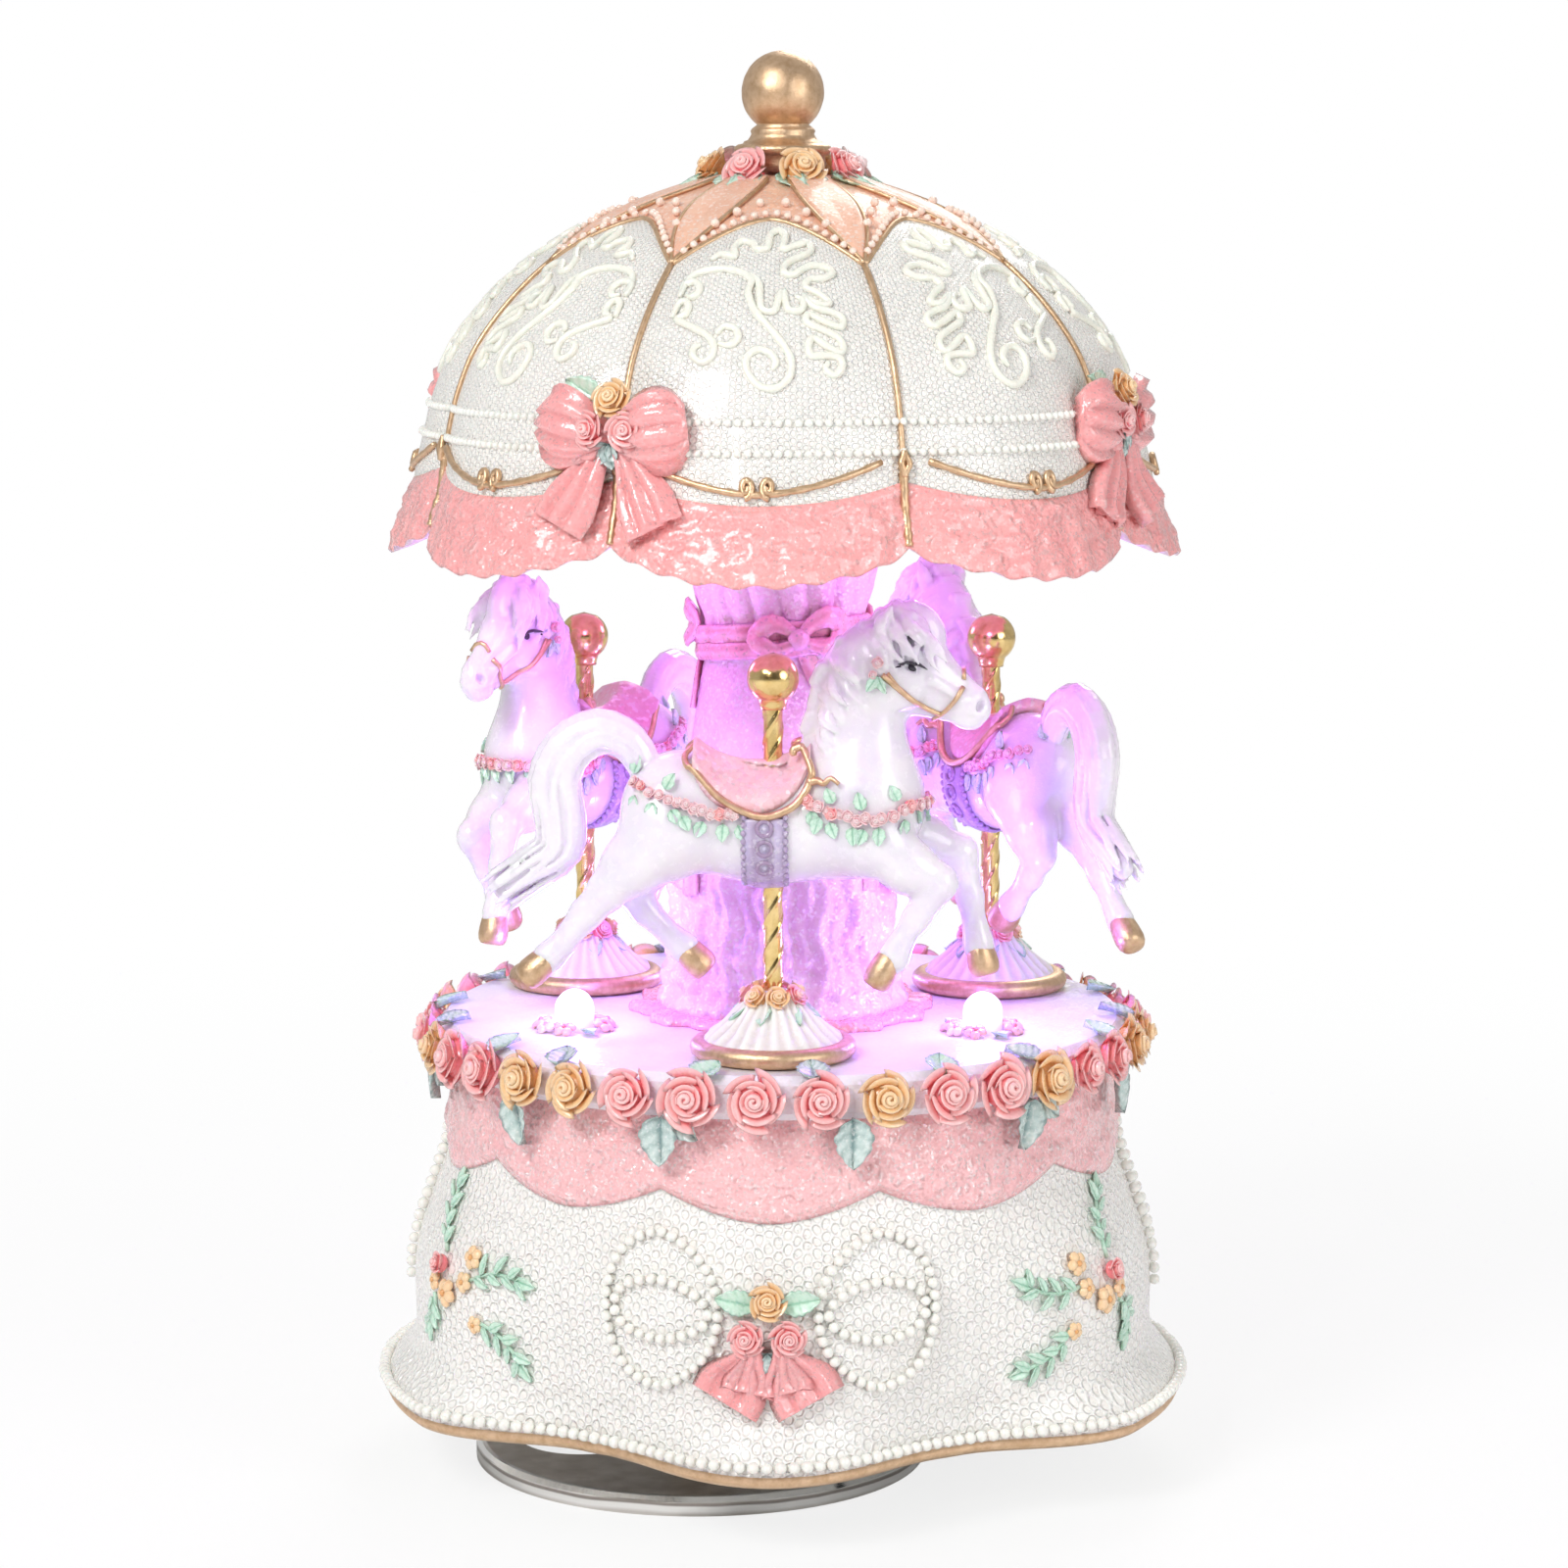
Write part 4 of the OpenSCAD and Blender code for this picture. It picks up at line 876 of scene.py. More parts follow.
def band(piece, path, widths, thick, normals, material=0, ripple=0.0, folds=3, shade=0.9):
    """A rounded ribbon along path that faces normals, with folds along its length."""
    n, nv = len(path), 13

    def frame(i):
        d = (path[min(i + 1, n - 1)] - path[max(i - 1, 0)]).normalized()
        out = (normals[i] - d * normals[i].dot(d)).normalized()
        return out, d.cross(out)

    frames = [frame(i) for i in range(n)]

    def at(i, j):
        out, side = frames[i]
        top = j < nv
        v = -1 + 2 * j / (nv - 1) if top else 1 - 2 * (j - nv + 1) / (nv + 1)
        swell = ripple * widths[i] * math.sin(folds * math.pi * v + 0.6)
        rise = thick * (1 - v * v) ** 0.5 if abs(v) < 1 else 0
        return path[i] + side * (widths[i] * v) + out * (swell + (rise if top else -rise * 0.5))

    # painted shade: darker in the troughs of the folds and on the underside
    def tone(i, j):
        if j >= nv:
            return 0.4
        v = -1 + 2 * j / (nv - 1)
        return shade * (0.72 + 0.28 * math.sin(folds * math.pi * v + 0.6))

    piece.grid(at, n, 2 * nv, closed_v=True, material=material, shade=tone)
    close_ends(piece, at, n, 2 * nv, material, [shade] * 2 * nv)


def pearls(piece, points, normals, r, material=0, sink=0.35, seed=0):
    rng = random.Random(seed)
    for p, n in zip(points, normals):
        size = r * rng.uniform(0.92, 1.06)
        piece.ball(p + n * (size * (1 - sink)), size, material, normal=n, rings=6, sides=9,
                   shade=rng.uniform(0.85, 1))


def pearl_string(piece, path, normals, gap, r, material=0, sink=0.4, seed=0, closed=False):
    """Pearls spaced evenly along a path, each facing as the path's nearest point does."""
    spots = along(path, gap, closed)
    near = [min(range(len(path)), key=lambda m: (path[m] - s).length_squared) for s in spots]
    pearls(piece, spots, [normals[m] for m in near], r, material, sink, seed)


def surface_path(surface, coords, off=0.0, steps=5, closed=False):
    """A smooth path through (phi, z) points on a surface, and its normals."""
    flat = spline([(a, b, 0) for a, b in coords], steps, closed)
    frames = [frame_at(surface, p.x, p.y) for p in flat]
    return [f[0] + f[1] * off for f in frames], [f[1] for f in frames]


# ---------------------------------------------------------------- base
def scallop(phi):
    """Height of the lower edge of the valance round the base."""
    a = abs((phi + 18) % 36 - 18) / 18
    return 40.8 + 3.6 * a ** 1.7


def base_shell():
    piece = Piece("Base_shell", NET, DRAPE, GOLD)
    columns, white, pink, inner = 540, 52, 34, 12
    low, lip = BASE_Z, 10.9

    def outer(i, j):
        phi = 360 * i / columns
        edge = scallop(phi)
        if j < 4:
            z = lerp(low, lip, j / 3)
            r = base_r(phi, 10.8) + (-0.9, -0.25, 0, -0.35)[j]
        elif j < 4 + white:
            z = lerp(lip, edge, (j - 4) / (white - 1))
            p = base_point(phi, z)
            r = base_r(phi, z) - 0.15 + 0.12 * fractal(p, 0.35)
        else:
            t = (j - 4 - white) / (pink - 1)
            z = lerp(edge, BASE_TOP, t)
            p = base_point(phi, z)
            relief = 0.75 * fractal(Vector((p.x, p.y, p.z * 1.5)), 0.2, 4) + 0.25 * fractal(p, 0.75, 3)
            r = base_r(phi, z) + 0.1 + (0.65 + 0.55 * relief) * smooth(t * 9) * (1 - 0.7 * smooth(t * 8 - 7))
            z = lerp(edge, BASE_TOP, t) if j > 4 + white else edge - 0.1
        return polar(phi, r, z)

    rows = 4 + white + pink

    def whole(i, j):
        if j < rows:
            return outer(i, j)
        phi = 360 * i / columns
        t = (j - rows) / (inner - 1)
        z = lerp(BASE_TOP, low, t)
        thick = 3.2 if z > 14 else 8.0
        return polar(phi, min(base_r(phi, max(z, 10.8)) - thick, 40.3 if z > 14 else 39.2), z)

    # painted shade: darker rows in the crease above the gold lip and under the pink valance's lower edge
    def tone(i, j):
        return 0.25 if j in (4, 4 + white) else 1.0

    start = len(piece.faces)
    piece.grid(whole, columns, rows + inner, closed_u=True, closed_v=True, shade=tone)
    total = rows + inner
    for f in range(start, len(piece.faces)):
        j = (f - start) % total
        piece.paint[f] = 2 if j < 3 else 0 if j < 3 + white else 1 if j < rows - 1 else 0
    piece.make(slot="pearl_resin", replaces=["base_shell"])


def base_pearls():
    piece = Piece("Base_pearls", BEAD)
    spots = along([base_point(phi / 2, 11.9) for phi in range(720)], 1.62, closed=True)
    normals = [frame_at(base_point, heading(p), 13)[1] for p in spots]
    pearls(piece, spots, normals, 0.78, sink=0.3, seed=1)
    for turn in (0, 180):
        for side in (-1, 1):
            for wide, tall, mid in ((8.6, 9.4, 29.8), (7.2, 3.6, 29.9)):
                coords = []
                for k in range(24):
                    a = TAU * k / 24
                    x = math.cos(a)
                    reach = 14.0 - wide * x * (1 - 0.08 * math.cos(2 * a))
                    coords.append((turn + side * math.degrees(reach / 47.2),
                                   mid + tall * math.sin(a) * (1 - 0.28 * max(0, x))))
                path, normals = surface_path(base_point, coords, closed=True)
                pearl_string(piece, path, normals, 1.5, 0.7, seed=2, closed=True)
    for phi in (90, 270):
        for shift in (-4, 4):
            line = [(phi + shift * lean, z) for lean, z in ((1, 24), (1.1, 32), (1, 40), (1, 45))]
            pearl_string(piece, *surface_path(base_point, line), 1.6, 0.75, seed=3)
    piece.make(slot="pearl_resin")


def bouquet(piece, surface, phi, z, size, lift=0.6):
    """The orange rose over two pink ones, a leaf on either side and two pale leaves below."""
    p, n, right, up = frame_at(surface, phi, z)

    def at(x, y, off=0.0):
        deg = math.degrees(x / math.hypot(p.x, p.y))
        q = surface(phi + deg, z + y)
        return q + n * (lift + off)

    rose(piece, at(0, 3.2 * size, 0.3), (n + up * 0.25).normalized(), up, 2.35 * size, 1,
         seed=int(phi * 7) + 1)
    for s in (-1, 1):
        rose(piece, at(s * 2.3 * size, -0.9 * size, 0.4), (n + right * 0.22 * s).normalized(), up,
             2.3 * size, 0, seed=int(phi * 7) + 5 + s)
        leaf(piece, at(s * 1.6 * size, 2.9 * size), right * s + up * 0.18, n + up * 0.1, 5 * size,
             3.2 * size, 2, 0.1)
    for a in (-0.5, 0.5):
        leaf(piece, at(0, -2.6 * size, 0.5), -up + right * a, n, 3.4 * size, 2.6 * size, 3, 0.3, 3)


def base_bows():
    piece = Piece("Base_bow", ROSE_PINK, ROSE_ORANGE, LEAF, LEAF_PALE, RIBBON)
    for turn in (0, 180):
        for s in (-1, 1):
            for k, (lean, length, wide) in enumerate(((0.46, 8.0, 4.6), (0.1, 8.8, 3.4))):
                coords = [(turn + s * (1.5 + lean * length * t) * 1.2,
                           27 - length * t * (0.95 - 0.25 * k * t)) for t in
                          (0, 0.25, 0.5, 0.75, 1)]
                path, normals = surface_path(base_point, coords, 0.9 + 0.25 * k)
                count = len(path)
                widths = [lerp(0.9, wide, smooth(1.3 * i / count)) for i in range(count)]
                band(piece, [q + normals[i] * (0.35 * math.sin(7 * i / count)) for i, q in enumerate(path)],
                     widths, 0.55, normals, 4, ripple=0.13, folds=3.0)
        bouquet(piece, base_point, turn, 28.4, 1.0, 0.5)
    piece.make(slot="rose_resin")


def sprig(piece, surface, phi, z, angle, length, seed):
    """A stem with small leaves on alternate sides along it and one at its tip."""
    rng = random.Random(seed)
    p, n, _, _ = frame_at(surface, phi, z)
    r = math.hypot(p.x, p.y)
    d = (math.cos(math.radians(angle)), math.sin(math.radians(angle)))
    stem = []
    for k in range(8):
        t = length * k / 7
        bend = 0.9 * math.sin(k / 7 * 3)
        stem.append(on_surface(surface, phi + math.degrees((d[0] * t - d[1] * bend) / r),
                               z + d[1] * t + d[0] * bend, 0.1))
    piece.tube(stem, 0.28, 5, 2, shade=0.5)
    for k in range(1, 8):
        go = (stem[k] - stem[k - 1]).normalized()
        s = 1 if k % 2 else -1
        side = go.cross(n) * s
        leaf(piece, stem[k] + n * 0.15, go * rng.uniform(0.5, 1.0) + side * rng.uniform(0.6, 1.1),
             n + side * 0.3, rng.uniform(2.1, 3.1), 1.4, 2, 0.1, 3, 0.35)
    leaf(piece, stem[-1], stem[-1] - stem[-2], n, 3.0, 1.7, 2, 0.1, 3, 0.45)


def base_sprays():
    piece = Piece("Base_flower_sprays", ROSE_PINK, ROSE_ORANGE, LEAF)
    for turn in (0, 180):
        for s in (-1, 1):
            phi = turn + 58 * s
            sprig(piece, base_point, phi - s * 4, 29.2, 172 if s > 0 else 180 - 172, 8.0, 11 + s)
            sprig(piece, base_point, phi - s * 6, 24.2, 215 if s > 0 else 180 - 215, 7.5, 13 + s)
            sprig(piece, base_point, phi + s * 4, 31.5, 72 if s > 0 else 180 - 72, 8.0, 15 + s)
            sprig(piece, base_point, phi + s * 6, 26, -70 if s > 0 else 250, 4.5, 17 + s)
            for k, (x, y, r, m) in enumerate(((-3.4, 2.6, 1.6, 1), (1.0, -2.6, 1.9, 1), (-2.4, -0.6, 1.4, 1),
                                              (-4.6, -5.6, 1.2, 1), (4.6, -1.8, 1.4, 1))):
                q, n, _, up = frame_at(base_point, phi + s * math.degrees(x / ARC_R), 29.4 + y)
                bloom(piece, q + n * 0.3, n, up, r, m, seed=20 + k)
            q, n, _, up = frame_at(base_point, phi + s * 3.6, 30)
            rose(piece, q + n * 0.2, n, up, 1.9, 0, seed=31 + s, layers=2)
    piece.make(slot="rose_resin")


# ---------------------------------------------------------------- deck
def deck_roses():
    piece = Piece("Deck_roses", ROSE_PINK, ROSE_ORANGE)
    order = (0, 0, 1, 0, 0, 1, 0, 0, 1, 1, 0, 0)
    count = 36
    for k in range(count):
        phi = 360 * k / count - 2
        big = 1.0 + 0.07 * math.sin(5.1 * k)
        rose(piece, polar(phi, DECK_R + 0.05, DECK_Z - 2.9), polar(phi, 1, 0.16).normalized(), UP, 3.7 * big,
             order[k % 12] if k % 7 != 5 else 1, seed=100 + k)
    piece.make(slot="rose_resin", replaces=["deck_roses"])


def deck_leaves():
    piece = Piece("Deck_leaves", LEAF, LEAF_PALE)
    for k in range(18):
        phi = 20 * k + 7 + 2.5 * math.sin(3 * k)
        n = polar(phi, 1, 0)
        right = UP.cross(n)
        leaf(piece, polar(phi, DECK_R + 0.9, DECK_Z - 0.4),
             n * -0.8 + right * 0.45 * math.sin(2.3 * k) + UP * 0.28,
             UP + n * 0.35, 4.6, 4.1, 1 - k % 2, 0.15, 5, 0.4)
    for k in range(12):
        phi = 30 * k + 13 + 2 * math.sin(2 * k)
        n = polar(phi, 1, 0)
        right = UP.cross(n)
        leaf(piece, polar(phi, DECK_R + 0.6, DECK_UNDER + 0.6), -UP + right * 0.35 * math.sin(4 * k), n, 6.4,
             4.8, 1, 0.1, 4, 0.6, 1.6)
        if k % 2:
            leaf(piece, polar(phi + 2, DECK_R + 0.5, DECK_UNDER + 0.4), -UP * 0.7 + right * 0.8, n, 4.2, 3.0,
                 1, 0.1, 4, 0.5, 1.6)
    piece.make(slot="leaf_resin", replaces=["deck_leaves"])


def lamp_wreaths():
    piece = Piece("Lamp_wreaths", ROSE_PINK, ROSE_PALE, LEAF)
    for k, phi in enumerate(LAMP_PHIS):
        c = polar(phi, LAMP_RING, DECK_Z + 0.2)
        for i in range(9):
            a = TAU * i / 9 + 0.3
            d = Vector((math.cos(a), math.sin(a), 0))
            if i % 4 == 3:
                leaf(piece, c + d * 3.4, d + UP * 0.15, UP, 3.2, 2.2, 2)
            else:
                bloom(piece, c + d * 4.1 + UP * 0.5, UP + d * 0.5, d, 1.5, i % 2, seed=60 + i + k)
    piece.make(slot="rose_resin", replaces=["lamp_collars"])


# ---------------------------------------------------------------- canopy
ARCH_LOW, ARCH_RISE = 156.0, 5.4


def arch(phi):
    """Height of the gold arch at the top of a white panel."""
    u = abs(across_panel(phi))
    return ARCH_LOW + ARCH_RISE * (1 - 0.86 * u ** 2.1 - 0.14 * u)


def border(phi):
    """Height where the pink valance meets the white panel."""
    return 128.3 + 2.6 * abs(across_panel(phi)) ** 2.0


def petal_height(away):
    """Height of a petal's edge so many degrees from its rib."""
    return ARCH_LOW + 10.0 * (away / PETAL_REACH) ** 0.9


def petal_edge(phi):
    """Height above which a rib's overlapping petal covers this direction."""
    return petal_height(HALF_PANEL * (1 - abs(across_panel(phi))))


def canopy_shell():
    piece = Piece("Canopy_shell", CANOPY_NET, PINK, PEACH, PEARL_PINK)
    columns, pink, white, peach, inner = 560, 26, 60, 30, 22
    rows = pink + white + peach

    def outer(i, j):
        phi = 360 * i / columns + CANOPY_TURN
        zs, rs = dome_curve(phi)
        hem = zs[0]
        low, high = border(phi), arch(phi)
        u = across_panel(phi)
        if j < pink:
            t = j / (pink - 1)
            z = lerp(hem, low, t)
            r = float(np.interp(z, zs, rs))
            p = polar(phi, r, z)
            waves = math.sin(math.radians(8 * 8 * (phi - CANOPY_TURN)) + 1.3) * 0.5 + 0.5 * fractal(p, 0.13,
                    2)
            r += 0.3 * smooth(t * 4) * (1 - smooth(t * 8
                                                   - 7)) + 0.55 * fractal(Vector((p.x, p.y, p.z * 1.6)),
                                                           0.33, 4) * smooth(3 * t) * smooth(6 - 6 * t)
            r += 0.5 * waves * (1 - t) ** 2
            z += 0.55 * waves * (1 - t) ** 3
        elif j < pink + white:
            t = (j - pink) / (white - 1)
            z = lerp(low, high, t)
            r = float(np.interp(z, zs, rs)) - 0.05 + 0.25 * (1 - abs(u) ** 4)
            r -= 0.25 * (1 - smooth(t * 20))
        else:
            t = (j - pink - white) / (peach - 1)
            z = lerp(high, 166.75, t ** 1.2)
            r = float(np.interp(z, zs, rs))
            cover = smooth((z - petal_edge(phi)) / 0.7)
            z += 0.65 * cover * smooth((1 - t) * 12)
            r += 0.25 * cover
        return polar(phi, r, z)

    inner_rows = [(158, 2.4, 2.4), (158, 14, 13.4), (153.5, 26.2, 25), (146, 35.6, 34), (138.5, 41, 39),
                  (131.2, 43.4, 41.2)]

    def whole(i, j):
        if j < rows:
            return outer(i, j)
        phi = 360 * i / columns + CANOPY_TURN
        zs, rs = dome_curve(phi)
        t = (j - rows) / (inner - 1)
        b = belly_of(phi)
        line = inner_rows + [(zs[0] + 0.5, rs[0] - 2.6, rs[0] - 2.6)]
        k = t * (len(line) - 1)
        m = min(int(k), len(line) - 2)
        z = lerp(line[m][0], line[m + 1][0], k - m)
        mid, rib = (lerp(line[m][c], line[m + 1][c], k - m) for c in (1, 2))
        return polar(phi, lerp(rib, mid, b), z)

    total = rows + inner
    start = len(piece.faces)
    piece.grid(whole, columns, total, closed_u=True, closed_v=True)
    for f in range(start, len(piece.faces)):
        j = (f - start) % total
        piece.paint[f] = 1 if j < pink - 1 else 0 if j < pink + white - 1 else 2 if j < rows - 1 else 3
    piece.make(slot="pearl_resin", replaces=["canopy"])


def wire(piece, coords, off, steps, r, sides=7, swell=0.0, beat=0.0):
    """A gold line through (phi, z) points on the canopy, its radius swelling along it."""
    path, normals = surface_path(dome_point, coords, off, steps)
    piece.tube(path, [r + swell * math.sin(i * beat) for i in range(len(path))], sides, normals=normals)


def canopy_gilding():
    """Gold lines: arches, ribs, swags with twin curls, and the petals' edges."""
    piece = Piece("Canopy_gold_lines", GOLD)
    for mid in PANEL_PHIS:
        coords = [(mid + HALF_PANEL * (k / 20 - 1), arch(mid + HALF_PANEL * (k / 20 - 1) * 0.9999))
                  for k in range(41)]
        wire(piece, coords, 0.1, 1, 0.36)
        swag = [(mid + 18.6 * k / 10, 129.5 + 3.7 * (abs(k) / 10) ** 1.6) for k in range(-10, 11)]
        wire(piece, swag, 0.45, 2, 0.42, 7, 0.05, 1.7)
        for s in (-1, 1):
            curl = []
            for k in range(16):
                a = math.radians(-100 + 33 * k)
                rad = 1.25 - 0.062 * k
                curl.append((mid + s * (1.55 - 0.75 * math.cos(a) * rad), 130.3 + math.sin(a) * rad))
            wire(piece, curl, 0.6, 2, 0.42)
    for rib in RIB_PHIS:
        wire(piece, [(rib, z) for z in (133.6, 137, 141, 145, 149, 152.5, 156)], 0.25, 4, 0.38, 8)
        wire(piece, [(rib, z) for z in (123.2, 125, 128, 131, 133.3)], 0.3, 5, 0.56, 8, 0.06, 2.1)
        for s in (-1, 1):
            wire(piece, [(rib - s * 0.2, 131.4), (rib + s * 0.9, 132.9), (rib - s * 0.2, 134.4)], 0.8, 5,
                 0.42)
        for s in (-1, 1):
            steps = [PETAL_REACH * k / 16 for k in range(17)]
            coords = [(rib + s * away, min(166.0, petal_height(away))) for away in steps]
            wire(piece, coords, 0.35, 2, 0.3, 6)
    piece.make(slot="gold_paint")


def canopy_pearls():
    piece = Piece("Canopy_pearls", BEAD, PEACH_BEAD)
    for z in (137.9, 134.3):
        spots = along([dome_point(phi / 2, z) for phi in range(720)], 1.2, closed=True)
        rows = [frame_at(dome_point, heading(p), z) for p in spots]
        pearls(piece, [f[0] for f in rows], [f[1] for f in rows], 0.52, sink=0.4, seed=int(z))
    for mid in PANEL_PHIS:
        for rise, gap, size, seed in ((0.95, 1.5, 0.5, 5), (2.6, 3.4, 0.6, 6)):
            coords = []
            for k in range(-14, 15):
                phi = mid + 20.5 * k / 14
                z = arch(phi) + rise * (0.5 if rise < 2 else 0.75)
                if z < petal_edge(phi) - 0.1 or rise < 2:
                    coords.append((phi, z))
            path, normals = surface_path(dome_point, coords, 0.1, 3)
            pearl_string(piece, path, normals, gap, size, 1, 0.25, seed)
    piece.make(slot="pearl_resin")


LACE = (  # each line: points (across the panel in mm, height in mm)
    ((-10.9, 152.2), (-9.5, 154.6), (-6, 155.5), (-3, 155.1), (-1.6, 154.2), (-1.9, 152.8), (-0.8, 150.6),
     (1.4, 148.4),
     (3, 146.6), (3.9, 144.9), (3.6, 143.1), (2, 141.9), (0, 142.2), (-1.5, 143.8), (-1.6, 145.4),
     (-0.4, 146.3), (1.2, 145.9), (2, 144.9), (1.5, 144)),
    ((-7.1, 156.5), (-5.8, 157.2), (-4, 156.9), (-4.2, 157.9), (-3.3, 158.7), (-1.8, 158.4), (-1.3, 157.8),
     (0, 157.9),
     (0.2, 159.4), (1.2, 159.9), (2.1, 159.3), (2, 157.8), (3.2, 158.1), (5, 158.5), (5.5, 157.6),
     (4.3, 156.9), (2.7, 156.2),
     (2.3, 155.2), (3.4, 154.8), (4.7, 155.5), (5.9, 155.9), (7.8, 155.6), (8.5, 155), (7.4, 154.4),
     (5.6, 154.3), (5.2, 153.4),
     (6.8, 152.7), (8.3, 151.6), (7, 151.4), (5, 152.4), (6.5, 151.1), (8.7, 150.5), (10.1, 149.8),
     (9.9, 148.8), (7.9, 149.4),
     (5.8, 150.3), (5.6, 149.4), (7.4, 148.6), (9.6, 147.6), (10.3, 146.6), (9.9, 145.9), (8.3, 146.6),
     (6.5, 147.6),
     (5.9, 146.8), (6.3, 145.6), (7.6, 145.6), (9.7, 145.4), (10.3, 144.4), (9.4, 143.4), (8.2, 144),
     (8.5, 144.9)),
    ((-2, 155), (-0.7, 154), (-0.4, 152.2), (0, 150.9), (1.4, 150.7), (2, 152.2), (2.4, 153), (2.9, 151.5),
     (3.4, 150.8), (4.8, 150.8), (5, 151.9), (4, 152.4)),
    ((-10.9, 152.4), (-10.4, 153.6), (-8.9, 153.9), (-8.2, 153.1), (-9.1, 152.2), (-10, 152.4)),
    ((-11.6, 149.8), (-11, 151.3), (-10, 151.7), (-9.5, 151), (-10, 150.1), (-11, 149.6), (-8.9, 148.8),
     (-6.7, 147.8),
     (-5.8, 146.6), (-6.2, 145.3), (-7.3, 144.8), (-8.4, 145.4), (-8.4, 146.4), (-7.5, 146.8)),
    ((-5.6, 148), (-4.7, 148.9), (-3.3, 148.7), (-2.8, 147.7), (-3.7, 146.8), (-5.3, 147)))


def canopy_lace():
    piece = Piece("Canopy_lace", LACE_PAINT)
    for k, mid in enumerate(PANEL_PHIS):
        mirror = 1 if k % 2 == 0 else -1
        for line in LACE:
            coords = [(mid + mirror * math.degrees(x * 0.96 / float(np.interp(z, *dome_curve(mid)))), z)
                      for x, z in line]
            path, normals = surface_path(dome_point, coords, 0.3, 4)
            count = len(path)
            piece.tube(path, [0.5 * (0.6 + 0.4 * smooth(min(i, count - 1 - i) / 5))
                              + 0.03 * math.sin(i * 1.3) for i in range(count)],
                       7, normals=normals, shade=0.9)
    piece.make(slot="pearl_resin")


def canopy_bows():
    piece = Piece("Canopy_bows", RIBBON, ROSE_PINK, ROSE_ORANGE, LEAF, LEAF_PALE)
    for b, phi in enumerate(BOW_PHIS):
        p, n = dome_point(phi, BOW_Z), polar(phi, 1, 0)
        right = UP.cross(n).normalized()

        def at(x, y, off):
            return p + right * x + UP * y + n * (off - x * x / 95)

        for s in (-1, 1):
            path = [at(s * (0.6 + 8.6 * t), 0.6 + 2.6 * t - 0.8 * t * t, 1.1 + 1.5 * math.sin(2.8 * t))
                    for t in
                    [k / 9 for k in range(10)]]
            widths = [1.2, 2.4, 3.4, 4.2, 4.8, 5.2, 5.4, 5.3, 4.7, 3.2]
            band(piece, path, widths, 2.1, [n + right * s * 0.5 * t for t in [k / 9 for k in range(10)]], 0,
                 ripple=0.13, folds=4.2)
            path = [at(s * (1.4 + 3.0 * t), 0.9 - 1.7 * t, 2.3 + 0.9 * math.sin(3 * t))
                    for t in [k / 7 for k in range(8)]]
            band(piece, path, [0.9, 1.3, 1.7, 2.0, 2.0, 1.8, 1.4, 0.7], 0.8, [n] * 8, 0, ripple=0.12,
                 folds=2.0)
            path = []
            for k in range(12):
                t = k / 11
                wave = 0.55 * math.sin(6.5 * t + s)
                x = s * (1.2 + 5.2 * t ** 0.9) + 0.3 * wave
                q = dome_point(phi + math.degrees(x / 46), BOW_Z - 9.6 * t)
                path.append(q + n * (1.6 - 0.5 * t + wave * 0.5))
            widths = [lerp(1.6, 4.0, smooth(1.25 * k / 11)) for k in range(12)]
            band(piece, path, widths, 1.0, [n + right * s * 0.15 for _ in path], 0, ripple=0.16, folds=3.2)
        rose(piece, at(0.4, 5.2, 2.0), (n + UP * 0.45).normalized(), UP, 2.6, 2, seed=300 + b)
        for s in (-1, 1):
            rose(piece, at(s * 2.3 + 0.2, 1.9, 3.1), (n + right * s * 0.2 + UP * 0.1).normalized(), UP, 2.35,
                 1, seed=310 + b * 3 + s)
            leaf(piece, at(s * 2.3 + 0.3, 5.2, 1.3), right * s + UP * (0.55 if s < 0 else -0.1),
                 n + UP * 0.3, 5.2, 3.6, 3, 0.12)
        for a in (-0.7, 0.1, 0.8):
            leaf(piece, at(0.1, 0.4, 3.1), -UP + right * a, n, 3.2, 2.5, 4, 0.35, 3)
    piece.make(slot="pink_resin", replaces=["canopy_bows", "canopy_bow_roses"])


def canopy_wreath():
    piece = Piece("Canopy_wreath", ROSE_PINK, ROSE_ORANGE, ROSE_PALE, LEAF)
    mats = (0, 1, 0, 2, 1, 0, 2, 1)
    for k in range(8):
        phi = 45 * k - 28
        n = (polar(phi, 1, 0) + UP * 0.75).normalized()
        rose(piece, polar(phi, 8.4, 166.9), n, UP, 3.0, mats[k], seed=400 + k)
        out = polar(phi + 22, 1, 0)
        right = UP.cross(out)
        for s in (-1, 1):
            leaf(piece, polar(phi + 20 + 8 * s, 9.0, 166.6), out * 0.8 + right * s * 0.8 - UP * 0.35,
                 UP + out * 0.5, 5.4, 3.4, 3, 0.12)
    piece.make(slot="rose_resin", replaces=["canopy_wreath"])


def finial():
    piece = Piece("Finial", GOLD)
    ball_z = TOP_Z - FINIAL_R
    profile = [(0, 158.2), (2.3, 158.2), (2.3, 167.1), (5.3, 167.1), (5.5, 168.2), (5.35, 169.1),
               (5.9, 169.3), (6.2, 169.8),
               (6.15, 170.3), (5.7, 170.6), (5.1, 170.7), (4.9, 171.0), (4.45, 171.15), (4.2, 171.5),
               (4.0, 171.9), (4.15, 172.3), (3.95, 172.6)]
    for k in range(13, 61):
        a = math.pi * k / 60
        profile.append((FINIAL_R * math.sin(math.pi - a), ball_z - FINIAL_R * math.cos(a)))

    def dents(a, z, r):
        return 0.05 * fractal(Vector((math.cos(a) * r, math.sin(a) * r, z)), 0.5) if r > 0.5 else 0

    piece.lathe(profile, 72, ripple=dents)
    piece.make(slot="gold_paint", replaces=["finial"])


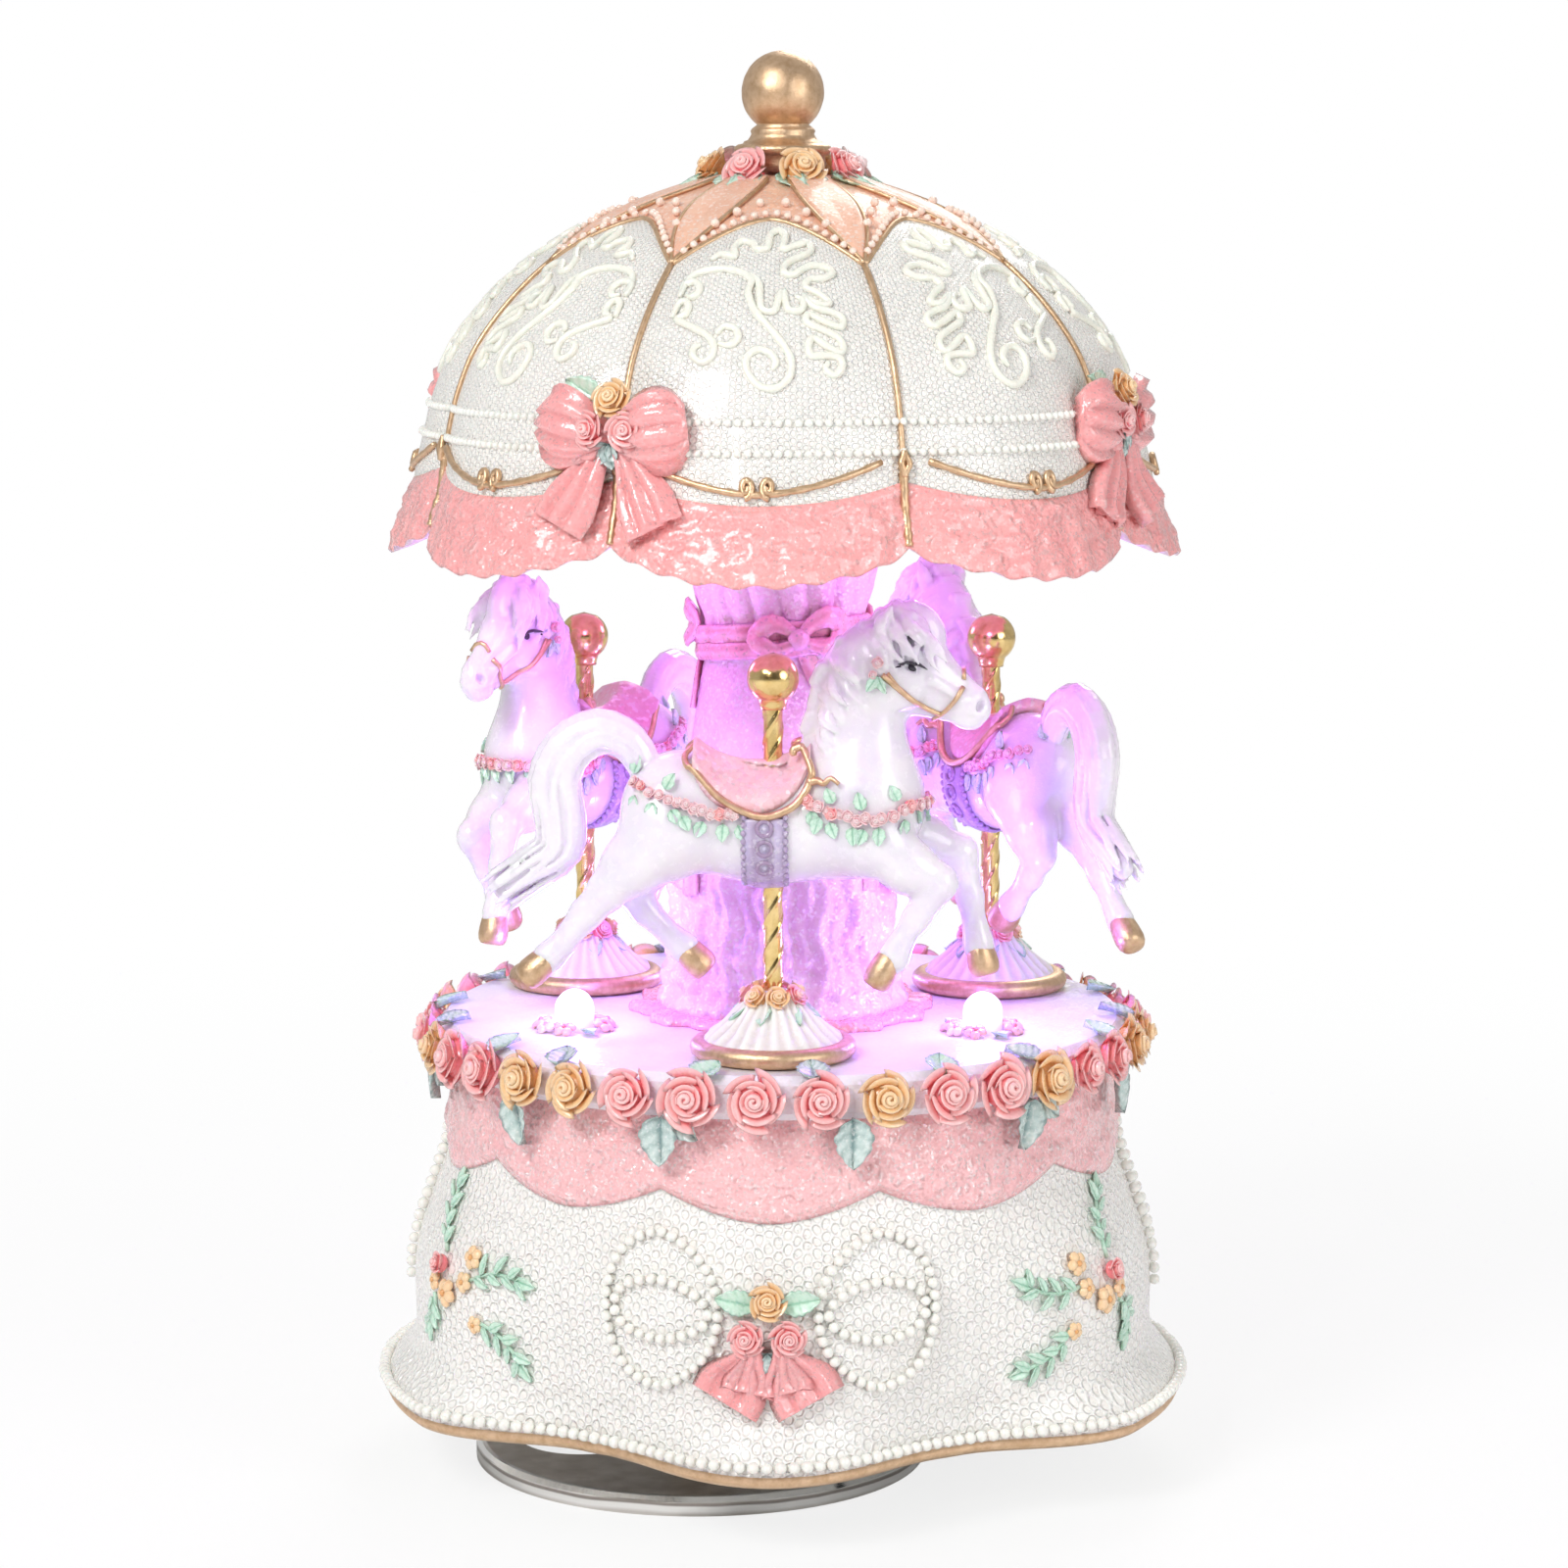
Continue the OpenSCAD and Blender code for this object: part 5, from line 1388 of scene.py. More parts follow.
# ---------------------------------------------------------------- column
COLUMN_ROWS = [(59, 16.2), (62, 15.6), (66, 14.6), (73, 13.8), (80, 13.5), (84, 13.0), (88, 12.5),
               (96, 11.5), (103, 10.5), (105, 10.1),
               (107.4, 10.5), (110, 10.1), (114, 11.2), (118, 11.8), (122, 10.4), (128, 9), (158, 8)]


def column_r(phi, z):
    r = float(np.interp(z, COLUMN_CURVE[0], COLUMN_CURVE[1]))
    a = math.radians(phi)
    if z > 104:
        pleat = abs(math.sin(9 * a + 0.3 * math.sin(z * 0.5))) ** 0.7
        r += (0.9 * pleat - 0.5) * smooth((z - 104) / 5) * (1 - 0.6 * smooth((z - 118) / 6))
    else:
        low = smooth((86 - z) / 10)
        drape = abs(math.sin(3 * a + 0.6)) ** 0.6
        hang = 83 - 6 * (1 - drape)
        puff = smooth((hang - z) / 1.5) * smooth((z - 69) / 7)
        r += 0.9 * puff * (0.6 + 0.4 * drape)
        r += low * 0.45 * math.sin(14 * a + 0.12 * z) * smooth((z - 60) / 3)
        r += low * 0.3 * math.sin(37 * a + 1.7 * math.sin(0.7 * z + 5 * a)) * smooth((z - 60) / 3)
        r += 0.22 * math.sin(9 * a + 1.1) * smooth((104 - z) / 12) * (1 - low)
        r += 0.35 * math.sin((z - 60) * 1.9) * smooth((72 - z) / 4)
    return r


COLUMN_CURVE = dense(COLUMN_ROWS, 12)


def column_point(phi, z):
    return polar(phi, column_r(phi, z), z)


def column():
    piece = Piece("Column", PEARL_PINK, PEARL)
    columns, rows = 320, 220

    def at(i, j):
        phi = 360 * i / columns
        z = lerp(DECK_Z, COLUMN_TOP, (j / (rows - 1)) ** 0.9)
        p = column_point(phi, z)
        crinkle = 0.75 * (0.35 - abs(fractal(Vector((p.x, p.y, p.z * 0.7)), 0.4, 3))) * smooth((86 - z) / 4)
        return p + polar(phi, 1, 0) * (0.12 * fractal(p, 0.6) + crinkle)

    piece.grid(at, columns, rows, closed_u=True)
    for j, z, turn in ((0, DECK_Z, 1), (rows - 1, COLUMN_TOP, -1)):
        ring = [at(i, j) for i in range(columns)]
        piece.add(ring + [Vector((0, 0, z))], [(i, columns, (i + 1) % columns)[::turn]
                                               for i in range(columns)])
    piece.make(slot="pearl_resin", replaces=["column"])


def column_rug():
    piece = Piece("Column_rug", PINK)
    columns = 180

    def edge(i, grow):
        a = TAU * i / columns
        return 19.0 + grow + 0.8 * math.sin(12 * a) + 0.3 * math.sin(29 * a)

    def at(i, j):
        r = (edge(i, -1.2) * 0.3, edge(i, -1.0) * 0.7, edge(i, -1.0), edge(i, -0.4), edge(i, 0),
             edge(i, 0.1), edge(i, 0), 2.0)[j]
        z = DECK_Z + (1.5, 1.3, 1.25, 1.15, 0.8, 0.35, 0.02, 0.02)[j]
        wave = 0.18 * math.sin(31 * TAU * i / columns + j) if 0 < j < 5 else 0
        return polar(360 * i / columns, r, z + wave)

    piece.grid(at, columns, 8, closed_u=True, closed_v=True)
    piece.make(slot="pink_resin", replaces=["column_rug"])


def column_ribbons():
    piece = Piece("Column_ribbons", SOFT_RIBBON, ROSE_PINK, LEAF)

    def ribbon(coords, widths, thick=0.5, off=0.7, steps=4):
        flat = spline([(a, b, 0) for a, b in coords], steps)
        path = [polar(q.x, column_r(q.x, q.y) + off, q.y) for q in flat]
        normals = [polar(q.x, 1, 0) for q in flat]
        count = len(path)
        band(piece, path, [float(np.interp(i / (count - 1), np.linspace(0, 1, len(widths)), widths))
                           for i in range(count)], thick,
             normals, 0, ripple=0.03, folds=2.0)

    for lift, wide in ((0.3, 1.2), (-1.9, 1.15)):
        ring = [(9 * k, 108.6 + lift + 1.0 * math.sin(math.radians(9 * k + 40))) for k in range(41)]
        ribbon(ring, [wide, wide], 0.45, 0.55, 2)
    for phi in (12, 132, 252):
        ribbon([(phi, 109), (phi + 18, 111.4), (phi + 30, 109.8), (phi + 20, 107.6), (phi, 108.4)],
               [0.6, 1.5, 1.7, 1.2, 0.6], 0.6, 1.4)
        ribbon([(phi, 109), (phi - 16, 110.6), (phi - 26, 108.6), (phi - 14, 107.2), (phi, 108.4)],
               [0.6, 1.3, 1.5, 1.0, 0.6], 0.6, 1.3)
        ribbon([(phi + 2, 108), (phi + 12, 104.5), (phi + 20, 102), (phi + 22, 98.5)], [0.8, 1.4, 1.7, 1.2],
               0.5, 0.35)
        piece.ball(polar(phi, column_r(phi, 108.6) + 1.2, 108.6), 1.5, 0, 0.8, polar(phi, 1, 0), 8, 12)
    for phi in (62, 182, 302):
        for s in (1, -1):
            ribbon([(phi, 83), (phi + 12 * s, 86), (phi + 20 * s, 83.5), (phi + 10 * s, 81)],
                   [0.7, 1.7, 1.9, 0.8], 0.6, 1.8)
        for knee, tip, z in ((6, 8, 75.5), (-7, -9, 76)):
            ribbon([(phi, 82), (phi + knee, 79), (phi + tip, z)], [1.0, 1.6, 1.8], 0.5, 0.5)
        n = polar(phi, 1, 0)
        rose(piece, polar(phi, column_r(phi, 83) + 1.5, 83), n, UP, 2.1, 1, seed=500 + phi, layers=2)
    piece.make(slot="pink_resin", replaces=["column_bow"])


# ---------------------------------------------------------------- pedestals, poles and balls
def pedestal(k):
    piece = Piece(f"Pedestal_{k + 1}", PEARL, GOLD, ROSE_PINK, ROSE_ORANGE, LEAF)
    c = polar(HORSE_PHIS[k], POLE_RING, 0)
    columns = 160
    rows = [(9.0, 1.0), (8.9, 1.8), (8.6, 2.3), (7.9, 2.9), (6.8, 3.8), (5.6, 4.9), (4.5, 6.0), (3.6, 7.0),
            (3.0, 8.0), (1.5, 8.4), (1.5, 0.3), (9.0, 0.3)]

    def at(i, j):
        r, z = rows[j]
        a = TAU * i / columns
        if 2 < j < 9:
            r += 0.42 * (r / 9) * math.sin(26 * a) + 0.2 * math.sin(7 * a + j)
        return c + polar(360 * i / columns, r, DECK_Z + z)

    # painted shade: the flutes' grooves are darker and their ridges lighter
    piece.grid(at, columns, len(rows), closed_u=True, closed_v=True, shade=lambda i,
               j: 0.75 + 0.25 * math.sin(26 * TAU * i / columns))
    ring = [(9.05 + 1.3 * math.cos(TAU * m / 12), 1.25 + 1.2 * math.sin(TAU * m / 12)) for m in range(12)]
    piece.lathe([(r, DECK_Z + max(0.02, z)) for r, z in ring], 96, c, 1)
    for m in range(7):
        phi = HORSE_PHIS[k] + 360 * m / 7 + 12
        d = polar(phi, 1, 0)
        n = (d + UP * 0.7).normalized()
        rose(piece, c + d * 2.4 + UP * (DECK_Z + 7.2), n, UP, 2.0, 2 if m % 2 else 3, seed=600 + 10 * k + m,
             layers=2)
        leaf(piece, c + polar(phi + 26, 2.9, DECK_Z + 6.5), polar(phi + 26, 1, -0.6), UP + d * 0.6, 3.4, 2.2,
             4, 0.12, 4)
    piece.make(slot="pearl_resin", replaces=[f"pedestal_{k + 1}"])


def pole(k):
    piece = Piece(f"Pole_{k + 1}", GILT)
    c = polar(HORSE_PHIS[k], POLE_RING, 0)
    low, high = cad(f"pole_{k + 1}")
    sides, rows = 60, 240

    def at(i, j):
        a = TAU * i / sides
        z = lerp(low.z, high.z, j / (rows - 1))
        thread = smooth((math.cos(3 * (a - TAU * z / 11.5)) - 0.55) / 0.45)
        r = POLE_R * (0.9 + 0.1 * thread)
        return c + Vector((math.cos(a) * r, math.sin(a) * r, z))

    piece.grid(at, sides, rows, closed_u=True)
    for j, turn in ((0, -1), (rows - 1, 1)):
        piece.add([at(i, j) for i in range(sides)], [tuple(range(sides))[::turn]])
    piece.make(slot="gold_plate", replaces=[f"pole_{k + 1}"])


def pole_ball(k):
    piece = Piece(f"Pole_ball_{k + 1}", GILT)
    c = polar(HORSE_PHIS[k], POLE_RING, 0)
    low, high = cad(f"pole_ball_{k + 1}")
    ball_r = 3.2
    mid = high.z - ball_r
    hole = POLE_R + 0.02
    profile = [(hole, low.z), (hole + 0.3, low.z), (hole + 0.35, low.z + 0.5)]
    for m in range(8, 41):
        a = math.pi * m / 40
        r, z = ball_r * math.sin(a), mid - ball_r * math.cos(a)
        if z > low.z + 0.5 and r > hole + 0.35:
            profile.append((r, z))
    profile += [(0, high.z), (0, mid), (hole, mid - 0.2)]
    piece.lathe(profile, 48, c)
    piece.make(slot="gold_plate", replaces=[f"pole_ball_{k + 1}"])


# ---------------------------------------------------------------- horses
VOXEL = 0.27
HORSE_LOW, HORSE_HIGH = np.array([-38.0, -9.5, 67.5]), np.array([29.0, 9.5, 118.0])


class Clay:
    """A body built up from rounded lumps, as a distance field on a grid of points."""

    def __init__(self):
        self.shape = np.ceil((HORSE_HIGH - HORSE_LOW) / VOXEL).astype(int)
        self.field = np.full(self.shape, 6.0, np.float32)

    def window(self, low, high, pad):
        a = np.clip(((np.array(low) - pad - HORSE_LOW) / VOXEL).astype(int), 0, self.shape - 1)
        b = np.clip(((np.array(high) + pad - HORSE_LOW) / VOXEL).astype(int) + 2, 1, self.shape)
        axes = [HORSE_LOW[k] + VOXEL * np.arange(a[k], b[k]) for k in range(3)]
        cut = tuple(slice(a[k], b[k]) for k in range(3))
        return cut, np.meshgrid(*axes, indexing="ij")

    def blend(self, cut, d, k):
        now = self.field[cut]
        h = np.clip(0.5 + 0.5 * (now - d) / k, 0, 1)
        self.field[cut] = now + (d - now) * h - k * h * (1 - h)

    def carve(self, cut, d, k):
        now = self.field[cut]
        h = np.clip(0.5 - 0.5 * (now + d) / k, 0, 1)
        self.field[cut] = now + (-d - now) * h + k * h * (1 - h)

    def ellipsoid(self, c, radii, k=1.5, carve=False, tilt=0.0):
        reach = max(radii)
        cut, (x, y, z) = self.window(np.array(c) - reach, np.array(c) + reach, 2 * k + 1)
        dx, dy, dz = x - c[0], y - c[1], z - c[2]
        ca, sa = math.cos(math.radians(tilt)), math.sin(math.radians(tilt))
        dx, dz = dx * ca + dz * sa, dz * ca - dx * sa
        q = np.sqrt((dx / radii[0]) ** 2 + (dy / radii[1]) ** 2 + (dz / radii[2]) ** 2)
        g = np.sqrt((dx / radii[0] ** 2) ** 2 + (dy / radii[1] ** 2) ** 2 + (dz / radii[2] ** 2) ** 2) + 1e-6
        (self.carve if carve else self.blend)(cut, q * (q - 1) / g, k)

    def cone(self, a, ra, b, rb, k=1.5, carve=False, flat=1.0):
        """A round cone from a to b; flat below 1 makes it thinner across (in y)."""
        a, b = np.array(a, float), np.array(b, float)
        low, high = np.minimum(a - ra, b - rb), np.maximum(a + ra, b + rb)
        cut, (x, y, z) = self.window(low, high, 2 * k + 1)
        ax, ay, az = x - a[0], (y - a[1]) / flat, z - a[2]
        bx, by, bz = b[0] - a[0], (b[1] - a[1]) / flat, b[2] - a[2]
        t = np.clip((ax * bx + ay * by + az * bz) / (bx * bx + by * by + bz * bz + 1e-9), 0, 1)
        d = np.sqrt((ax - bx * t) ** 2 + (ay - by * t) ** 2 + (az - bz * t) ** 2) - (ra + (rb - ra) * t)
        (self.carve if carve else self.blend)(cut, d * (0.5 + 0.5 * flat), k)

    def strand(self, points, radii, k=0.35, flat=1.0):
        for i in range(len(points) - 1):
            self.cone(points[i], radii[i], points[i + 1], radii[i + 1], k, flat=flat)

    def sample(self, points):
        """The field between its grid points."""
        q = (points - HORSE_LOW) / VOXEL
        i = np.clip(np.floor(q).astype(int), 0, self.shape - 2)
        f = q - i
        total = np.zeros(len(points))
        for corner in range(8):
            step = np.array([corner & 1, corner >> 1 & 1, corner >> 2])
            weight = np.prod(np.where(step, f, 1 - f), axis=1)
            at = i + step
            total += weight * self.field[at[:, 0], at[:, 1], at[:, 2]]
        return total

    def hollows(self, points, reach=0.9):
        """1 on open surfaces, falling to 0 in the creases between strands."""
        slope = np.stack([self.sample(points + VOXEL * e) - self.sample(points - VOXEL * e)
                          for e in np.eye(3)], axis=1)
        normals = slope / (np.linalg.norm(slope, axis=1, keepdims=True) + 1e-9)
        return np.clip((self.sample(points + normals * reach) / reach - 0.3) / 0.5, 0, 1)

    def mesh(self):
        grid = openvdb.FloatGrid(background=6.0)
        grid.copyFromArray(self.field.astype(np.float32))
        points, quads = grid.convertToQuads()
        return points * VOXEL + HORSE_LOW, quads


def horse_torso(clay):
    clay.ellipsoid((0, 0, 87.6), (13.5, 6.0, 7.0), 2)
    clay.ellipsoid((10.5, 0, 89.5), (7.0, 6.0, 8.0), 3)
    clay.ellipsoid((14.2, 0, 90.5), (3.8, 4.4, 5.0), 3)
    clay.ellipsoid((-10.8, 0, 90.2), (7.8, 6.1, 7.0), 3)
    for s in (-1, 1):
        clay.ellipsoid((-13, 2.8 * s, 87.5), (5.2, 3.4, 6.4), 2.5)
        clay.ellipsoid((11, 3.2 * s, 88.6), (4.2, 2.8, 6.2), 2)
    clay.cone((10.5, 0, 93.5), 6.2, (11.6, 0, 106), 4.4, 4, flat=0.8)
    clay.cone((8.2, 0, 97), 4.6, (9.4, 0, 106.8), 3.2, 2.5, flat=0.62)


def horse_head(clay):
    clay.cone((12.6, 0, 108.9), 4.5, (17.4, 0, 107.9), 3.7, 2, flat=0.74)
    clay.cone((17.4, 0, 108.4), 3.5, (23.8, 0, 103.6), 2.1, 1.6, flat=0.78)
    clay.cone((15.6, 0, 105.4), 3.6, (21.2, 0, 102.7), 1.9, 1.6, flat=0.74)
    clay.ellipsoid((24.1, 0, 102.7), (2.7, 2.1, 2.3), 1.0, tilt=-35)
    clay.ellipsoid((23.6, 0, 100.9), (1.9, 1.6, 1.1), 0.6, tilt=-15)
    for s in (-1, 1):
        clay.ellipsoid((15.6, 2.6 * s, 105.3), (2.7, 1.0, 2.7), 1.2)
        clay.ellipsoid((17.0, 2.5 * s, 109.1), (1.8, 0.75, 0.8), 0.7, tilt=-30)
        clay.ellipsoid((17.1, 3.3 * s, 107.8), (1.05, 0.6, 0.62), 0.3, carve=True, tilt=-20)
        clay.ellipsoid((25.4, 1.5 * s, 102.9), (0.55, 0.7, 0.8), 0.3, carve=True, tilt=-30)
        clay.cone((25.6, 1.9 * s, 101.25), 0.32, (22.4, 2.2 * s, 101.6), 0.25, 0.25, carve=True)
        clay.cone((19.6, 2.5 * s, 106.1), 0.5, (23.2, 1.9 * s, 103.7), 0.4, 1.0)
        ear = [(13.2, 2.2 * s, 111.2), (13.7, 2.7 * s, 113.2), (14.4, 2.9 * s, 115.0)]
        clay.strand(ear, (1.25, 1.15, 0.35), 0.6, flat=0.8)
        clay.cone((14.1, 3.4 * s, 112.2), 0.5, (14.5, 3.3 * s, 114.0), 0.3, 0.3, carve=True)


def horse_legs(clay):
    legs = (  # hip or shoulder, knee, above the fetlock, fetlock, pastern, with the radius at each
        (((12.4, -3, 86.5), 4.3), ((16.6, -3.4, 83.3), 3.2), ((20.3, -3.5, 81.4), 2.3),
         ((17.6, -3.5, 76.8), 1.55),
         ((15.6, -3.5, 73.6), 1.45), ((14.9, -3.5, 72.0), 1.75), ((13.8, -3.5, 70.6), 1.4)),
        (((13, 3, 87), 4.3), ((18.2, 3.4, 85.6), 3.1), ((22.9, 3.5, 84), 2.15), ((24.2, 3.5, 78.6), 1.6),
         ((25.0, 3.5, 74.2), 1.45), ((25.3, 3.5, 72.5), 1.75), ((25.5, 3.5, 71.1), 1.4)),
        (((-13, -3, 87.5), 5.2), ((-17.2, -3.3, 83.2), 3.6), ((-20.1, -3.4, 80.2), 2.4),
         ((-22.8, -3.4, 77.2), 1.9),
         ((-26, -3.4, 73.2), 1.5), ((-27.4, -3.4, 71.8), 1.75), ((-28.3, -3.4, 70.6), 1.4)),
        (((-12.4, 3, 87), 5.0), ((-16.2, 3.2, 82.4), 3.5), ((-18.0, 3.3, 79.8), 2.4),
         ((-16.0, 3.3, 76.6), 1.7),
         ((-12.4, 3.3, 73.0), 1.45), ((-11.2, 3.3, 71.9), 1.75), ((-10.3, 3.3, 70.8), 1.4)))
    for leg in legs:
        for i in range(len(leg) - 1):
            (a, ra), (b, rb) = leg[i], leg[i + 1]
            clay.cone(a, ra, b, rb, 1.3 if i < 2 else 0.9, flat=0.86)


def horse_mane(clay):
    crest = spline([(17.4, 0, 112.6), (15.6, 0, 114.3), (12.5, 0, 113.0), (8.6, 0, 110.2), (6.2, 0, 106.4),
                    (5.0, 0, 102), (5.2, 0, 97.6), (6.8, 0, 95.2)], 6)
    clay.strand([(p.x + 1.4, 0, p.z - 1.4) for p in crest], [2.0] * len(crest), 1.0, flat=0.62)
    rng = random.Random(7)
    for s in (-1, 1):
        for k in range(44):
            t = k / 43
            p = crest[min(len(crest) - 1, int(1 + t * (len(crest) - 3)))]
            drop = rng.uniform(4.0, 7.6) * (1 - 0.3 * t)
            lead = rng.uniform(1.4, 4.6)
            wave = rng.uniform(0, TAU)
            thick = rng.uniform(0.45, 0.66)
            lock = []
            for m in range(8):
                f = m / 7
                x = p.x + 0.5 + lead * f + 0.45 * math.sin(6.0 * f + wave)
                y = s * (0.7 + 2.9 * math.sin(1.75 * f) ** 0.7 + 0.25 * math.sin(6.0 * f + wave + 1))
                lock.append((x, y, p.z + 0.3 - drop * f ** 1.1))
            clay.strand(lock, [thick * w for w in (0.7, 1.0, 1.0, 1.0, 0.95, 0.8, 0.55, 0.25)], 0.12)
    for k in range(14):
        a = -1 + 2 * k / 13
        tip = (17.9 + rng.uniform(-1.2, 0.7), a * 2.4, 111.0 + rng.uniform(-0.3, 2.0))
        clay.strand([(12.8, a * 0.8, 113.4), (15.2, a * 1.4, 115.1 - 0.5 * abs(a)), (17.0, a * 1.9, 113.9),
                     tip], [0.6, 0.75, 0.65, 0.15], 0.12)
    for k in range(9):
        p = crest[6 + int(k * (len(crest) - 9) / 8)]
        tuft = 1.1 + 0.5 * math.sin(k * 2.1)
        for y in (-0.9, -0.3, 0.3, 0.9):
            clay.strand([(p.x + 1.4, y * 0.7, p.z + 0.6), (p.x + 0.2 - tuft * 0.5, y, p.z + 0.3),
                         (p.x - tuft, y * 0.7, p.z - 1.4),
                         (p.x - tuft * 0.5, y * 0.4, p.z - 3.0)], [0.8, 0.75, 0.6, 0.2], 0.15)


def horse_tail(clay):
    line = spline([(-15.4, 0, 94.4), (-17.6, 0, 98.0), (-21.4, 0, 99.4), (-25.2, 0, 97.2), (-26.9, 0, 93.2),
                   (-26.2, 0, 88.6), (-26.4, 0, 84.8), (-29.6, 0, 82.4), (-33.2, 0, 79.8)], 6)
    count = len(line)
    core = [1.7 + 1.0 * math.sin(math.pi * min(1, i / count * 1.05)) for i in range(count)]
    clay.strand([tuple(p) for p in line], [c * 0.8 for c in core], 0.8, flat=0.85)
    rng = random.Random(11)
    for k in range(40):
        turn = TAU * k / 40
        lock, radii = [], []
        for i in range(0, count, 2):
            t = i / (count - 1)
            ahead = line[min(i + 1, count - 1)] - line[max(i - 1, 0)]
            out = Vector((-ahead.z, 0, ahead.x)).normalized()
            w = core[i] * 0.86 + 0.8 * t * t
            a = turn + 0.7 * t * math.sin(k * 1.7) + 0.3 * math.sin(5 * t + k)
            p = line[i] + out * (w * 1.1 * math.cos(a)) + Vector((0, w * 0.85 * math.sin(a), 0))
            lock.append(tuple(p))
            radii.append(0.28 + 0.22 * math.sin(math.pi * min(1, 0.2 + t)) + 0.08 * math.sin(k * 2.3))
        tip = Vector(lock[-1]) + (line[-1] - line[-3]).normalized() * rng.uniform(0.3, 2.2)
        tip += Vector((0, 0, rng.uniform(-0.9, 0.5)))
        clay.strand(lock + [tuple(tip)], radii + [0.12], 0.12)


def horse_mesh():
    clay = Clay()
    horse_torso(clay)
    horse_head(clay)
    horse_legs(clay)
    horse_mane(clay)
    horse_tail(clay)
    clay.cone((0, 0, 60), POLE_R - 0.25, (0, 0, 118), POLE_R - 0.25, 0.1, carve=True)
    points, quads = clay.mesh()
    mesh = bpy.data.meshes.new("horse")
    mesh.from_pydata((points * MM).tolist(), [], quads.tolist())
    mesh.materials.append(HORSE)
    mesh.polygons.foreach_set("use_smooth", [True] * len(quads))
    # painted shade: the hollows become the shade attribute, darkening the creases of mane, tail and body
    set_shade(mesh, clay.hollows(points).astype(np.float32))
    return mesh


def stand_at(obj, k):
    """Moves a piece from a horse's own frame to horse k's place."""
    phi = HORSE_PHIS[k]
    obj.parent = None
    obj.matrix_world = Matrix.Translation(polar(phi, POLE_RING, 0) * MM) @ Matrix.Rotation(math.radians(phi),
            4, "Z")
    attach(obj, "carousel")


def copies(obj, name, replaces=None):
    """The same piece at each of the three horses."""
    for k in range(3):
        twin = new_object("x", obj.data) if k else obj
        if k:
            if "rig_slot" in obj:
                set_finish(twin, obj["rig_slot"])
        twin.name = f"{name}_{k + 1}"
        stand_at(twin, k)
        if replaces:
            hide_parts(f"{replaces}_{k + 1}")


def body_side(mesh_tree, x, z, s):
    """Point and normal of the horse's side at x, z; s is -1 for the outer side and 1 for the inner."""
    hit, normal, _, _ = mesh_tree.ray_cast(Vector((x, 14 * s, z)), Vector((0, -s, 0)))
    if hit is None:
        return Vector((x, 4 * s, z)), Vector((0, s, 0))
    return hit, (normal if normal.y * s > 0 else -normal)


def hoof(piece, top, toe, r):
    """A hoof from the pastern towards its toe."""
    top, toe = Vector(top), Vector(toe)
    shape = ((-0.25, 0.5), (-0.12, 0.84), (0.0, 0.97), (0.15, 1.05), (0.4, 1.13), (0.65, 1.16), (0.85, 1.08),
             (0.97, 0.9), (1.0, 0.6))
    piece.tube([top.lerp(toe, t) for t, _ in shape], [r * w for _, w in shape], 20, 0, 0.9)


def horse_hooves():
    piece = Piece("hooves", GOLD)
    for top, toe in (((14.4, -3.5, 72.0), (12.5, -3.5, 68.4)), ((25.4, 3.5, 72.3), (26.3, 3.5, 68.7)),
                     ((-27.6, -3.4, 71.7), (-30.6, -3.4, 68.9)), ((-11.0, 3.3, 71.8), (-8.2, 3.3, 69.0))):
        hoof(piece, top, toe, 1.8)
    copies(piece.make(slot="gold_paint"), "Horse_hooves")


def horse_eyes(tree):
    piece = Piece("eyes", EYE)
    x, z = 17.1, 107.75
    for s in (-1, 1):
        p, n = body_side(tree, x, z, s)
        piece.ball(p + n * 0.05, 0.62, 0, 0.6, n, 8, 12)
        lid = []
        for k in range(11):
            t = -1 + 2 * k / 10
            q, nq = body_side(tree, x + 1.75 * t, z + 0.62 - 0.35 * t - 0.55 * t * t, s)
            lid.append(q + nq * 0.12)
        piece.tube(lid, [0.05, 0.13, 0.18, 0.22, 0.25, 0.26, 0.25, 0.22, 0.17, 0.12, 0.05], 6)
        for dx, dz in ((-1.5, 0.15), (-1.1, 0.5)):
            a, na = body_side(tree, x + dx, z + dz, s)
            b, nb = body_side(tree, x + dx - 0.65, z + dz - 0.1, s)
            piece.tube([a + na * 0.1, (a + b) / 2 + na * 0.2, b + nb * 0.16], [0.14, 0.11, 0.04], 6)
    copies(piece.make(slot="black_plastic"), "Horse_eyes")


def laid(tree, coords, s, off, steps=4):
    """A smooth path through (x, z) points on the horse's side."""
    flat = spline([(x, z, 0) for x, z in coords], steps)
    hits = [body_side(tree, p.x, p.y, s) for p in flat]
    return [h[0] + h[1] * off for h in hits], [h[1] for h in hits]


